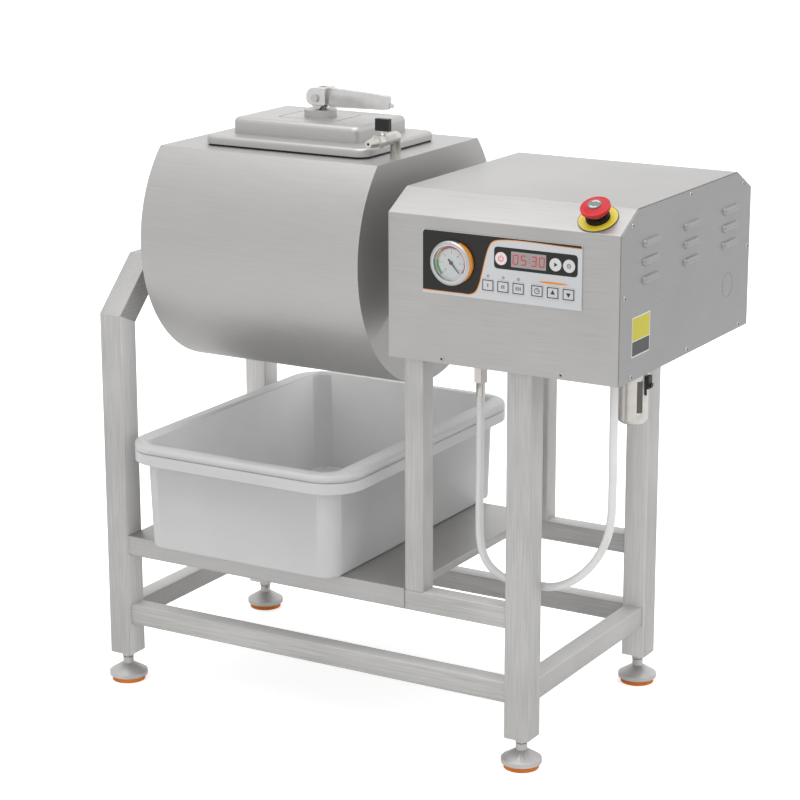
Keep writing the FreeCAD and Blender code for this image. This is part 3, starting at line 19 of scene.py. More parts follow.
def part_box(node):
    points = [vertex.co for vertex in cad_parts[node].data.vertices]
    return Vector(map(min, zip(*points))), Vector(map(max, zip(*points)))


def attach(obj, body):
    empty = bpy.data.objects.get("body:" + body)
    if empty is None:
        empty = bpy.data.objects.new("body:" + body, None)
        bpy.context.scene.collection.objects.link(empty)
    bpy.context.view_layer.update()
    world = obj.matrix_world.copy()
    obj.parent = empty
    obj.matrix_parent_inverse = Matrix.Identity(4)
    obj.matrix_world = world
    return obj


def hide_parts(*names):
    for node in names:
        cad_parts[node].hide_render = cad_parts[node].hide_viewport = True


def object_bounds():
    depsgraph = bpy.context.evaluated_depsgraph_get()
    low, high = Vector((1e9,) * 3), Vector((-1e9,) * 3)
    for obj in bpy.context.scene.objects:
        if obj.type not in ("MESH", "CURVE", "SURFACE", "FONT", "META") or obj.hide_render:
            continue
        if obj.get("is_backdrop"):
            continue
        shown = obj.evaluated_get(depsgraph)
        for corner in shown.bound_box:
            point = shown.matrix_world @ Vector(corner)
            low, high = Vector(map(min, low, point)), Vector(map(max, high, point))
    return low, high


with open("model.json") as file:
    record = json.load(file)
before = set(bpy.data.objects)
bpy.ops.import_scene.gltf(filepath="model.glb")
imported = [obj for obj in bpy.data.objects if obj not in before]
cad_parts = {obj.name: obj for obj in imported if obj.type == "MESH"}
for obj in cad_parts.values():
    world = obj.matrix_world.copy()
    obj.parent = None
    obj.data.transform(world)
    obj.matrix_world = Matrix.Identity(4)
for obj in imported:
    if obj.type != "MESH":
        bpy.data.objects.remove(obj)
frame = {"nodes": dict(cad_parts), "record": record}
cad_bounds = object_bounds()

nodes = frame["nodes"]
behaviour = frame["record"]["behaviour"]
body_of_node = {node: body for body, members in behaviour["bodies"].items() for node in members}

# %% [markdown]
# ## Units, and the faces that we build on
#
# We think in millimetres, as the maker of the machine did, and turn a finished mesh into metres at the end.
# A small fitting is easiest to model flat on its back, with z pointing at the viewer, and then stood up
# against the wall that it belongs to. A matrix does the standing up: its columns are the three directions
# of the wall, and its last column is a point on the wall.

# %% Walls to stand pieces on
MM = 0.001


def wall(point, right, up):
    """Place a flat-lying piece at a point, with its x to the right and its y upwards on the wall."""
    right, up = Vector(right).normalized(), Vector(up).normalized()
    turn = Matrix((right, up, right.cross(up))).transposed().to_4x4()
    return Matrix.Translation(Vector(point)) @ turn


def front_wall(x, y, z):
    return wall((x, y, z), (1, 0, 0), (0, 0, 1))


def right_wall(x, y, z):
    return wall((x, y, z), (0, 1, 0), (0, 0, 1))


def table_top(x, y, z):
    return wall((x, y, z), (1, 0, 0), (0, 1, 0))


def box_of(node):
    """The low and the high corner of a solid part, in millimetres."""
    return [Vector(corner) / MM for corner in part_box(node)]


def in_scene(name, data):
    """Put an object with this data into the scene."""
    thing = bpy.data.objects.new(name, data)
    bpy.context.scene.collection.objects.link(thing)
    return thing


print("walls ready; the whole machine is", [round((b - a) / MM) for a, b in zip(*cad_bounds)], "mm")

# %% [markdown]
# ## The camera
#
# The machine is seen from its right front corner and a little from above, through a long lens, so its
# upright edges stay nearly parallel. The camera stands where its distance gives the frame that slight
# narrowing towards the back. Its turn is given by two angles: the direction on the floor, and the height
# above the horizon. A third, tiny one levels the picture.

# %% Camera
AZIMUTH, ELEVATION, ROLL = (math.radians(a) for a in (30.43, 14.90, -0.13))
LENS_MM, SENSOR_MM = 111.87, 36
CAMERA_PLACE = (1777.77, -3091.39, 1398.18)
towards_camera = Matrix.Rotation(AZIMUTH, 3, "Z") @ Vector((0, -math.cos(ELEVATION), math.sin(ELEVATION)))
camera_data = bpy.data.cameras.new("camera")
camera_data.lens = LENS_MM
camera_data.sensor_width = SENSOR_MM
camera_data.clip_start, camera_data.clip_end = 0.1, 60
camera = in_scene("camera", camera_data)
camera.rotation_mode = "QUATERNION"
look = (-towards_camera).to_track_quat("-Z", "Y")
camera.rotation_quaternion = look @ Matrix.Rotation(ROLL, 3, "Z").to_quaternion()
camera.location = Vector(CAMERA_PLACE) * MM
bpy.context.scene.camera = camera
print("camera looks along", [round(v, 3) for v in -towards_camera])

# %% [markdown]
# ## Finishes: colours and nodes
#
# A colour is written as the sRGB hex value that a painter's chart would give, and one function turns it
# into the linear numbers that the shader mixes with. A second small function adds a node with its
# settings and its links, so that a finish reads as a short recipe.

# %% Helpers for materials
def linear(hex_colour):
    """Turn an sRGB hex value such as "b8b7b4" into linear red, green, blue and alpha."""
    parts = [int(hex_colour[i:i + 2], 16) / 255 for i in (0, 2, 4)]
    return [p / 12.92 if p <= 0.04045 else ((p + 0.055) / 1.055) ** 2.4 for p in parts] + [1.0]


def add_node(material, kind, links=None, values=None, **settings):
    """Add one node: settings are its own properties, values fill its sockets, links say what feeds them."""
    node = material.node_tree.nodes.new(kind)
    for name, value in settings.items():
        setattr(node, name, value)
    for socket, value in (values or {}).items():
        node.inputs[socket].default_value = value
    for socket, (other, output) in (links or {}).items():
        material.node_tree.links.new(other.outputs[output], node.inputs[socket])
    return node


def new_finish(name, **shader):
    """Start a finish: constants stay on the shader's own sockets, where an export can read them."""
    material = bpy.data.materials.new(name)
    material.use_nodes = True
    principled = material.node_tree.nodes["Principled BSDF"]
    for socket, value in shader.items():
        principled.inputs[socket.replace("_", " ")].default_value = value
    return material, principled


def feed(material, principled, socket, node, output):
    material.node_tree.links.new(node.outputs[output], principled.inputs[socket])


def surfaced(material, principled, tone, rough, bump):
    """Let three nodes drive the colour, the roughness and the relief of a finish."""
    feed(material, principled, "Base Color", tone, "Color")
    feed(material, principled, "Roughness", rough, "Result")
    feed(material, principled, "Normal", bump, "Normal")
    return material


print("b8b7b4 is", [round(v, 3) for v in linear("b8b7b4")])

# %% [markdown]
# ## Stainless steel, brushed
#
# The sheets and tubes are austenitic stainless steel with a satin finish: a belt has drawn fine lines
# along the grain of each tube, so the metal smears the light across the lines and looks soft. Real
# scratches are 0.05 to 0.2 mm wide and too fine to show, so they are drawn about 1.2 mm wide and 70 mm
# long. We stretch a noise along the grain for them, and let it move the roughness and a very shallow
# bump. A slow second noise gives the faint clouding that every rolled sheet has.

# %% Brushed stainless steel
SCRATCH_WIDTH, SCRATCH_LENGTH = 1.2 * MM, 70 * MM
CLOUD_SCALE = 7.0  # clouds about 140 mm wide


def brushed_steel(name, colour, shade, grain, roughness, bump=0.10, metallic=0.8):
    """Satin stainless steel whose brushing runs along the grain axis."""
    material, principled = new_finish(name, Metallic=metallic)
    place = add_node(material, "ShaderNodeTexCoord")
    grain_scale = [1 / (SCRATCH_LENGTH if axis == grain else SCRATCH_WIDTH) for axis in "XYZ"]
    stretched = add_node(material, "ShaderNodeMapping", {"Vector": (place, "Object")}, {"Scale": grain_scale})
    scratches = add_node(material, "ShaderNodeTexNoise", {"Vector": (stretched, "Vector")},
                         {"Scale": 1.0, "Detail": 3.0, "Roughness": 0.6})
    clouds = add_node(material, "ShaderNodeTexNoise", {"Vector": (place, "Object")},
                      {"Scale": CLOUD_SCALE, "Detail": 2.0})
    tone = add_node(material, "ShaderNodeMix", {"A": (scratches, "Fac"), "B": (clouds, "Fac")},
                    {"Factor": 0.3}, data_type="FLOAT")
    ramp = add_node(material, "ShaderNodeValToRGB", {"Fac": (tone, "Result")})
    dark, light = ramp.color_ramp.elements
    dark.position, light.position = 0.38, 0.62
    dark.color, light.color = linear(shade), linear(colour)
    rough = add_node(material, "ShaderNodeMapRange", {"Value": (scratches, "Fac")},
                     {"From Min": 0.3, "From Max": 0.7, "To Min": roughness[0], "To Max": roughness[1]})
    lines = add_node(material, "ShaderNodeBump", {"Height": (scratches, "Fac")},
                     {"Strength": bump, "Distance": 0.05 * MM})
    return surfaced(material, principled, ramp, rough, lines)


TUBE, SHEET = (0.52, 0.62), (0.38, 0.48)
steel_upright = brushed_steel("stainless_brushed_upright", "bcbbb9", "a4a3a1", "Z", TUBE, metallic=0.6)
steel_across = brushed_steel("stainless_brushed_across", "bcbbb9", "a4a3a1", "X", TUBE, metallic=0.6)
steel_deep = brushed_steel("stainless_brushed_deep", "b9b8b6", "a1a09e", "Y", TUBE, metallic=0.6)
# A lighter copy of the tube finish: painted light for frame faces that lie in shade.
steel_painted_light = brushed_steel("stainless_brushed_painted_light", "d6d5d3", "c4c3c1", "Z", (0.55, 0.65), metallic=0.3)
steel_sheet = brushed_steel("stainless_sheet_satin", "aeadac", "a3a2a1", "X", SHEET, 0.06)
# A darker sheet for the box's right-hand panel: painted shade for that side.
steel_side_painted_shade = brushed_steel("stainless_side_sheet_painted_shade", "9a9a9a", "919191", "Y", (0.40, 0.50), 0.04)
steel_drum = brushed_steel("stainless_drum_satin", "b3b2b1", "abaaa9", "X", (0.42, 0.52), 0.05)
steel_lid = brushed_steel("stainless_lid_satin", "b5b4b3", "b0afae", "X", SHEET, 0.04)
print("eight kinds of brushed steel")

# %% [markdown]
# ## Polished and plated metal
#
# The clamp, the lever and the pins are polished by hand: the surface is a soft mirror, and buffing leaves
# a faint waviness, which a slow, shallow bump gives. The brass fittings are plated with nickel, a little
# warmer than steel. The feet are turned and stay satin, so they hold less of the room and more of their
# own grey. Cast and machined parts inside the box get the same recipe with their own numbers.

# %% Smooth metals
def smooth_metal(name, colour, shade, roughness, wave_mm, wave=0.12, metallic=1.0):
    """Metal without a grain direction; buffing leaves faint waves that are wave_mm apart."""
    material, principled = new_finish(name, Metallic=metallic)
    place = add_node(material, "ShaderNodeTexCoord")
    waves = add_node(material, "ShaderNodeTexNoise", {"Vector": (place, "Object")},
                     {"Scale": 1 / (wave_mm * MM), "Detail": 2.0})
    ramp = add_node(material, "ShaderNodeValToRGB", {"Fac": (waves, "Fac")})
    dark, light = ramp.color_ramp.elements
    dark.position, light.position = 0.3, 0.7
    dark.color, light.color = linear(shade), linear(colour)
    rough = add_node(material, "ShaderNodeMapRange", {"Value": (waves, "Fac")},
                     {"To Min": roughness * 0.8, "To Max": roughness * 1.2})
    bump = add_node(material, "ShaderNodeBump", {"Height": (waves, "Fac")},
                    {"Strength": wave, "Distance": 0.2 * MM})
    return surfaced(material, principled, ramp, rough, bump)


polished_steel = smooth_metal("stainless_polished", "c0bfbe", "b8b7b6", 0.34, 24.0, 0.04, metallic=0.85)
nickel_plate = smooth_metal("brass_nickel_plated", "cbc8c4", "c2bfba", 0.36, 14.0, 0.03, metallic=0.85)
foot_steel = smooth_metal("stainless_turned_satin", "bdbcbb", "b6b5b4", 0.45, 20.0, 0.03, metallic=0.6)
lever_steel = smooth_metal("stainless_cast_polished", "d3d2d1", "cac9c8", 0.34, 14.0)
bezel_steel = smooth_metal("stainless_bezel_satin", "b9b9b8", "b2b2b1", 0.42, 12.0)
machined_steel = smooth_metal("steel_machined", "b0aeab", "a3a19e", 0.30, 6.0)
cast_aluminium = smooth_metal("aluminium_cast", "9c9c9a", "8e8e8c", 0.50, 3.0, 0.5)
print("seven smooth metals")

# %% [markdown]
# ## Moulded plastics, rubber and paint
#
# A moulded plastic is a dielectric: its colour comes from inside, and only its skin shines. The mould
# leaves an orange-peel or sparked grain, from a third of a millimetre upwards, so a fine noise moves the
# bump and the roughness, and a slow one shifts the colour a little, as filler and handling do. The joint
# between two sheets gets a plain dark grey of its own, painted shade, because no light comes out of it.

# %% Plastics and paints
DRIFT_SCALE = 11.0  # colour patches about 90 mm wide


def plastic(name, colour, shade, roughness, grain_mm=0.7, grain=0.05, **shader):
    """Moulded plastic, rubber or paint: the colour drifts to shade, and the grain is grain_mm apart."""
    material, principled = new_finish(name, Metallic=0.0, **shader)
    place = add_node(material, "ShaderNodeTexCoord")
    drift = add_node(material, "ShaderNodeTexNoise", {"Vector": (place, "Object")},
                     {"Scale": DRIFT_SCALE, "Detail": 3.0})
    ramp = add_node(material, "ShaderNodeValToRGB", {"Fac": (drift, "Fac")})
    dark, light = ramp.color_ramp.elements
    dark.position, light.position = 0.3, 0.7
    dark.color, light.color = linear(shade), linear(colour)
    skin = add_node(material, "ShaderNodeTexNoise", {"Vector": (place, "Object")},
                    {"Scale": 1 / (grain_mm * MM), "Detail": 2.0})
    rough = add_node(material, "ShaderNodeMapRange", {"Value": (skin, "Fac")},
                     {"To Min": roughness - 0.06, "To Max": roughness + 0.06})
    bump = add_node(material, "ShaderNodeBump", {"Height": (skin, "Fac")},
                    {"Strength": grain, "Distance": 0.1 * MM})
    return surfaced(material, principled, ramp, rough, bump)


tub_plastic = plastic("polypropylene_tub_grey", "bababa", "b5b5b5", 0.42, 1.6, 0.12, IOR=1.49)
# A lighter grey for the tub's inside: painted light on walls that lie in shade.
tub_inside_painted_light = plastic("polypropylene_tub_inside_painted_light", "dcdcdc", "d6d6d6", 0.55, 1.6, 0.12, IOR=1.49)
black_plastic = plastic("nylon_black", "131314", "0f0f0f", 0.46, 0.8, 0.3, Specular_IOR_Level=0.35)
black_rubber = plastic("rubber_black", "181817", "131312", 0.62, 1.0, 0.4, Specular_IOR_Level=0.35)
orange_rubber = plastic("rubber_orange_worn", "dc8436", "b8601f", 0.72, 1.5, 0.6, Specular_IOR_Level=0.3)
panel_film = plastic("polyester_film_black", "1b1918", "171514", 0.36, 0.7, 0.08, Specular_IOR_Level=0.35)
silver_film = plastic("polyester_film_silver", "bbbcbe", "b6b7b9", 0.40, 0.7, 0.08)
orange_print = plastic("screen_ink_orange", "d48526", "cc7c20", 0.45)
key_film = plastic("polyester_film_key_grey", "c6c5c6", "c0bfc0", 0.36, 0.7, 0.08)
power_film = plastic("polyester_film_key_rose", "d9c8c9", "d2c1c2", 0.36, 0.7, 0.08)
display_window = plastic("acrylic_window_grey", "918d8c", "8b8786", 0.16, 2.0, 0.03)
red_segments = plastic("display_segments_red", "bd2636", "b52231", 0.35, 0.7, 0.03)
dark_ink = plastic("screen_ink_dark", "262423", "222020", 0.45)
stop_plastic = plastic("polyamide_red", "bd1219", "b10f16", 0.38, 1.4, 0.10, Specular_IOR_Level=0.3)
stop_yellow = plastic("polyamide_yellow", "d3c134", "c9b72f", 0.42, 1.2, 0.10)
stop_band_yellow = plastic("polyamide_pale_yellow", "d9cf9a", "cfc58e", 0.42, 1.2, 0.10)
smoked_window = plastic("polycarbonate_smoked", "57534e", "403d39", 0.14, 2.0, 0.03)
plate_yellow = plastic("foil_yellow", "b5ac14", "ada411", 0.45, 0.9, 0.05)
plate_dark = plastic("foil_dark_grey", "39393b", "343436", 0.50, 0.9, 0.05)
plate_border = plastic("foil_light_grey", "c9c9c8", "c3c3c2", 0.40, 0.9, 0.05)
insert_grey = plastic("polyamide_grey_light", "777c7d", "6e7374", 0.55, 0.8, 0.2, Specular_IOR_Level=0.3)
stop_grey_plastic = plastic("polyamide_grey", "5f6364", "575b5c", 0.40, 0.8, 0.2)
board_plastic = plastic("glass_epoxy_green", "2f6b45", "26583a", 0.45, 0.6, 0.2)
motor_enamel = plastic("enamel_motor_grey", "5d666b", "535b60", 0.40, 1.1, 0.25)
needle_paint = plastic("enamel_needle_black", "17181a", "111213", 0.40, 0.6, 0.05)
# Dark grey for the panel's edge in the open joint: painted shade.
joint_painted_shade = plastic("joint_painted_shade", "454545", "404040", 0.60, 1.0, 0.05)
clear_plastic = new_finish("polycarbonate_clear", Base_Color=linear("f4f6f6"), Roughness=0.06, IOR=1.58,
                           Transmission_Weight=1.0)[0]
print("the plastics, rubbers, inks and paints are mixed")

# %% [markdown]
# ## Enamel and ink behind glass
#
# The gauge's dial is enamelled sheet, printed in coloured inks. A glass lies over it, and a renderer lets
# less light through such a glass than a real one does. A faint glow in the dial's own colours makes up
# for it.

# %% Dial finishes
DIAL_GLOW = 0.1


def behind_glass(name, colour, shade, glow, grain_mm=0.7):
    return plastic(name, colour, shade, 0.45, grain_mm, Emission_Color=linear(glow),
                   Emission_Strength=DIAL_GLOW)


dial_enamel = behind_glass("enamel_dial_grey", "f2f4f5", "eceeef", "ffffff", 0.8)
dial_red = behind_glass("dial_ink_red", "c33a4a", "bb3343", "c33a4a")
dial_yellow = behind_glass("dial_ink_yellow", "d9a93c", "d1a136", "d9a93c")
dial_green = behind_glass("dial_ink_green", "3fae52", "38a54b", "3fae52")
print("an enamel and three inks for the dial")

# %% [markdown]
# ## The vacuum hose
#
# A milky PVC hose, 11.6 mm thick, runs from the pump's fitting, hangs in a slack bow under the box and
# climbs to the filter. It is a real, free hose: its length is fixed and it sags, so it is one smooth
# NURBS line drawn by the points of its route, with a round bevel for its wall. PVC lets light into its
# skin and scatters it, which is what makes it look milky, so the finish scatters light 6 mm deep.

# %% Hose
HOSE_DIAMETER = 11.6 * MM
HOSE_ROUTE = [(192.75, 520), (192.75, 450), (191.86, 372), (192.24, 293), (225.26, 260.5), (274.25, 258),
              (323.25, 263.4), (370.25, 302), (395.95, 357), (396.56, 428), (396.05, 500), (396.05, 566)]
HOSE_PLANE_Y = -173.0

SCATTER_DEPTH = 6 * MM
hose_pvc = plastic("pvc_hose_milky", "d2d2d2", "c9c9c8", 0.22, 2.0, 0.05, IOR=1.53, Subsurface_Weight=0.35,
                   Subsurface_Radius=[SCATTER_DEPTH] * 3, Subsurface_Scale=1.0)
hose_line = bpy.data.curves.new("vacuum_hose", "CURVE")
hose_line.dimensions = "3D"
hose_line.bevel_depth = HOSE_DIAMETER / 2
hose_line.bevel_resolution = 6
hose_line.resolution_u = 14
spline = hose_line.splines.new("NURBS")
spline.points.add(len(HOSE_ROUTE) - 1)
for point, (x, z) in zip(spline.points, HOSE_ROUTE):
    point.co = (x * MM, HOSE_PLANE_Y * MM, z * MM, 1.0)
spline.order_u = 3
spline.use_endpoint_u = True
hose_line.materials.append(hose_pvc)
vacuum_hose = in_scene("vacuum_hose", hose_line)
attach(vacuum_hose, "frame")
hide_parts("hose")
exit_x, exit_z = HOSE_ROUTE[0]

# %% [markdown]
# ## The world
#
# The machine is shown in a plain, pale studio, so the world around it is white.

# %% World
world = bpy.data.worlds.new("studio")
bpy.context.scene.world = world
world.use_nodes = True
background = world.node_tree.nodes["Background"]
background.inputs["Color"].default_value = (1, 1, 1, 1)
background.inputs["Strength"].default_value = 1.0
print("a plain white world")

# %% [markdown]
# ## The floor
#
# The floor is a large sheet of matt paper. What the camera or a glass sees of the paper glows until it is
# as white as the world, and that glow carries no light to the machine. A mirror would show it as a glare
# on the lower parts, so metal sees only a little of it.

# %% Floor
FLOOR_SIZE = 24.0
PAPER_GLOW, PAPER_GLOW_IN_METAL = 0.55, 0.08
paper, paper_shader = new_finish("paper_backdrop_white", Base_Color=linear("ececec"), Roughness=0.9,
                                 Emission_Color=(1, 1, 1, 1))
rays = add_node(paper, "ShaderNodeLightPath")
in_view = add_node(paper, "ShaderNodeMath", {0: (rays, "Is Camera Ray"), 1: (rays, "Is Glossy Ray")},
                   operation="MAXIMUM")
seen = add_node(paper, "ShaderNodeMath", {0: (in_view, "Value"), 1: (rays, "Is Transmission Ray")},
                operation="MAXIMUM")
strength = add_node(paper, "ShaderNodeMapRange", {"Value": (rays, "Is Glossy Ray")},
                    {"To Min": PAPER_GLOW, "To Max": PAPER_GLOW_IN_METAL})
glow = add_node(paper, "ShaderNodeMath", {0: (seen, "Value"), 1: (strength, "Result")}, operation="MULTIPLY")
feed(paper, paper_shader, "Emission Strength", glow, "Value")
floor_shape = bmesh.new()
bmesh.ops.create_grid(floor_shape, x_segments=1, y_segments=1, size=FLOOR_SIZE / 2)
floor_mesh = bpy.data.meshes.new("studio_floor")
floor_shape.to_mesh(floor_mesh)
floor_shape.free()
floor_mesh.materials.append(paper)
studio_floor = in_scene("studio_floor", floor_mesh)
studio_floor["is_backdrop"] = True
print("a floor", FLOOR_SIZE, "metres wide")

# %% [markdown]
# ## The light
#
# Four soft lamps do the modelling: a wide one overhead, which brightens every upward face, a very wide,
# weak one behind, one from the left front for the long faces, and one from the right.

# %% Lamps
def soft_lamp(name, place, target, size, power, mirrored=True):
    """An area lamp; one that is not mirrored brightens matt surfaces without a glare on the metal."""
    lamp = bpy.data.lights.new(name, "AREA")
    lamp.shape = "RECTANGLE"
    lamp.size, lamp.size_y = size
    lamp.energy = power
    holder = in_scene(name, lamp)
    holder.location = place
    holder.rotation_mode = "QUATERNION"
    holder.rotation_quaternion = (Vector(target) - Vector(place)).to_track_quat("-Z", "Y")
    holder.visible_glossy = mirrored
    holder.visible_camera = False


MACHINE_MIDDLE = (0.0, 0.0, 0.5)
soft_lamp("lamp_right", (3.0, -1.2, 0.9), MACHINE_MIDDLE, (2.4, 1.6), 8, mirrored=False)
soft_lamp("lamp_overhead", (0.2, -0.3, 3.0), MACHINE_MIDDLE, (2.8, 2.8), 44)
soft_lamp("lamp_rear", (0.3, 3.6, 1.7), MACHINE_MIDDLE, (8.0, 2.4), 16)
soft_lamp("lamp_left_front", (-2.6, -2.4, 1.6), MACHINE_MIDDLE, (2.6, 2.6), 10, mirrored=False)
print("four soft lamps")

# %% [markdown]
# ## Rounding the edges of a solid part
#
# A solid from the drawing has knife-sharp edges and is made of loose triangles. Real sheet metal is bent
# over a radius, a tube has a corner of 2 to 3 mm, and that little curve is what catches the light. We
# never touch the solid itself: we copy its mesh, merge it, melt the triangles of each flat face together
# and bevel only the edges that turn sharply outwards between two large faces.

# %% Rounded copies
def copy_of(node):
    """A merged bmesh of a solid part, in millimetres."""
    shape = bmesh.new()
    shape.from_mesh(nodes[node].data)
    bmesh.ops.scale(shape, vec=(1 / MM,) * 3, verts=shape.verts)
    bmesh.ops.remove_doubles(shape, verts=shape.verts, dist=0.001)
    return shape


def melt_flats(shape):
    """Join the triangles of each flat face."""
    bmesh.ops.dissolve_limit(shape, angle_limit=math.radians(0.6), verts=shape.verts, edges=shape.edges,
                             use_dissolve_boundaries=False)


def outward_corners(shape, longer_than, sharper_than, face_over):
    """Edges that stand out between two faces, such as the long corners of a tube."""
    return [e for e in shape.edges if len(e.link_faces) == 2 and e.is_convex
            and e.calc_length() > longer_than and e.calc_face_angle(0.0) > math.radians(sharper_than)
            and min(f.calc_area() for f in e.link_faces) > face_over]


def finish_piece(name, shape, body, slot, material, place=None, replaces=(), sharp=35.0):
    """Make a finished object from a bmesh in millimetres: stand it in its place, ride it on its body."""
    if place is not None:
        bmesh.ops.transform(shape, matrix=place, verts=shape.verts)
    bmesh.ops.scale(shape, vec=(MM,) * 3, verts=shape.verts)
    mesh = bpy.data.meshes.new(name)
    shape.to_mesh(mesh)
    shape.free()
    mesh.shade_smooth()
    mesh.set_sharp_from_angle(angle=math.radians(sharp))
    mesh.materials.append(material)
    piece = in_scene(name, mesh)
    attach(piece, body)
    if replaces:
        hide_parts(*replaces)
    return piece


def slot_of(node):
    return nodes[node].data.materials[0].name


def dress(node, material, radius=0.0, longer_than=30.0, face_over=60.0, segments=2, sharp=35.0,
          sharper_than=50.0):
    """Replace a solid part by its smooth, softly cornered copy with a finish."""
    shape = copy_of(node)
    melt_flats(shape)
    corners = outward_corners(shape, longer_than, sharper_than, face_over) if radius else []
    if corners:
        bmesh.ops.bevel(shape, geom=corners, offset=radius, offset_type="OFFSET", affect="EDGES",
                        segments=segments, profile=0.5, material=-1, clamp_overlap=True)
    for face in shape.faces:
        face.material_index = 0
    piece = finish_piece(node + "_dressed", shape, body_of_node[node], slot_of(node), material,
                         replaces=(node,), sharp=sharp)
    print(f"{piece.name}: {len(corners)} corners rounded, {len(piece.data.polygons)} faces")
    return piece


def repaint(piece, material, chosen):
    """Give a second finish to the faces that chosen says yes to."""
    piece.data.materials.append(material)
    faces = [face for face in piece.data.polygons if chosen(face)]
    for face in faces:
        face.material_index = 1
    print(f"{piece.name}: {len(faces)} faces in {material.name}")


# %% [markdown]
# ## The frame of square tubes
#
# The legs, posts and rails are square tube, cut and welded, then brushed along their length. Their long
# corners get the 2.5 mm radius of a rolled tube. Where a face looks at its neighbours, light bounces to
# and fro between bright tubes and tray, more often than a short render follows it. Such faces, which are
# the tops of the rails, the inner faces of the left legs and the fronts of the rear ones, get a lighter
# copy of the steel finish: painted light that brightens these shaded faces in place of that bounced light.

# %% Frame
FACING = 0.9
legs = dress("frame_legs", steel_upright, 2.5, 60)
# Painted light on the inner faces of the left legs and the fronts of the rear legs.
repaint(legs, steel_painted_light, lambda face: (face.normal.x > FACING and face.center.x < 0)
        or (face.normal.y < -FACING and face.center.y > 0))
dress("mid_posts", steel_upright, 2.0, 60)
rails = dress("frame_rails", steel_across, 2.0, 60)
# Painted light on the tops of the rails.
repaint(rails, steel_painted_light, lambda face: face.normal.z > FACING)
dress("left_bridge", steel_deep, 2.5, 40)
dress("shelf_tray", steel_sheet, 1.2, 100)

# %% [markdown]
# ## The control box
#
# One sheet is folded over the front, slope, top and back, and a flat panel with pressed louvres closes
# the right end. That panel gets a darker grey than the sheet, painted shade for its side. The panel's
# edge stands in the open joint between the two, and its faces there are painted dark grey, painted shade
# that reads as a thin dark line along the slope and the top. Its louvres keep a crease at every fold of
# more than 12 degrees.

# %% Control box
dress("box_cover", steel_sheet, 1.6, 60, 200)
# The right-hand panel gets a darker grey, painted shade for that side.
side_panel = dress("box_side_panel", steel_side_painted_shade, sharp=12)
side_low, side_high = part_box("box_side_panel")
RIM_DEPTH = 2 * MM
SMALLEST_RIM = 100 * MM ** 2


def in_joint(face):
    """Is this face on the panel's edge, at the slope, the top or the back?"""
    from_edge = min(face.center.y - side_low[1], side_high[1] - face.center.y,
                    face.center.z - side_low[2], side_high[2] - face.center.z)
    slanted = abs(face.normal.y * face.normal.z) > 0.3
    on_edge = abs(face.normal.x) < 0.2 and face.area > SMALLEST_RIM and (from_edge < RIM_DEPTH or slanted)
    return on_edge and face.normal.y >= -FACING


# The edge faces in the joint get painted shade.
repaint(side_panel, joint_painted_shade, in_joint)
dress("box_base_pan", steel_sheet)
dress("box_screws", foot_steel)
dress("mains_inlet", black_plastic)
dress("control_board", board_plastic)

# %% [markdown]
# ## Flat-lying shapes
#
# Printed films, rings and digits are thin shapes that lie flat on their back. Each is drawn in its plane,
# from a grid, a circle or a line that is spun, and is then given its thickness by an extrusion. That way
# every print is a real, closed layer with its own height, and no two layers share a surface.

# %% Flat-lying shapes
def thicken(shape, thickness):
    """Give flat faces a body upwards, and point every face outwards."""
    top = bmesh.ops.extrude_face_region(shape, geom=shape.faces[:], use_keep_orig=True)["geom"]
    top_verts = [v for v in top if isinstance(v, bmesh.types.BMVert)]
    bmesh.ops.translate(shape, vec=(0, 0, thickness), verts=top_verts)
    bmesh.ops.recalc_face_normals(shape, faces=shape.faces)
    return shape


def moved(shape, x=0.0, y=0.0, z=0.0, turn=0.0):
    """Turn a shape by degrees about its own z axis, then shift it."""
    place = Matrix.Translation((x, y, z)) @ Matrix.Rotation(math.radians(turn), 4, "Z")
    bmesh.ops.transform(shape, matrix=place, verts=shape.verts)
    return shape


def blank(width, height, corner, rounds):
    """A flat rectangle, centred, with rounded corners."""
    shape = bmesh.new()
    bmesh.ops.create_grid(shape, x_segments=1, y_segments=1, size=0.5)
    bmesh.ops.scale(shape, vec=(width, height, 1), verts=shape.verts)
    if corner:
        bmesh.ops.bevel(shape, geom=shape.verts[:], offset=corner, offset_type="OFFSET", affect="VERTICES",
                        segments=rounds, profile=0.5, material=-1)
    return shape


def card(width, height, thickness, corner=0.0, rounds=4):
    """A flat plate, centred."""
    return thicken(blank(width, height, corner, rounds), thickness)


def frame_line(width, height, line, thickness):
    """The outline of a card: its rim is inset, from the open border inwards, and its middle is taken out."""
    shape = blank(width, height, 0.8, 3)
    middle = shape.faces[:]
    bmesh.ops.inset_region(shape, faces=middle, thickness=line, use_even_offset=True, use_boundary=True)
    bmesh.ops.delete(shape, geom=middle, context="FACES")
    return thicken(shape, thickness)


def disc(radius, thickness, steps=32):
    shape = bmesh.new()
    bmesh.ops.create_circle(shape, cap_ends=True, radius=radius, segments=steps)
    return thicken(shape, thickness)


def band(inner, outer, thickness, start=0.0, sweep=360.0, steps=48):
    """A flat ring or arc; its angles run clockwise from the top, as on a dial."""
    shape = bmesh.new()
    ends = [shape.verts.new((0, radius, 0)) for radius in (inner, outer)]
    shape.edges.new(ends)
    bmesh.ops.rotate(shape, matrix=Matrix.Rotation(math.radians(-start), 3, "Z"), verts=shape.verts)
    bmesh.ops.spin(shape, geom=shape.verts[:] + shape.edges[:], axis=(0, 0, -1), steps=steps,
                   angle=math.radians(sweep), use_merge=sweep == 360.0)
    bmesh.ops.remove_doubles(shape, verts=shape.verts, dist=0.0001)
    return thicken(shape, thickness)


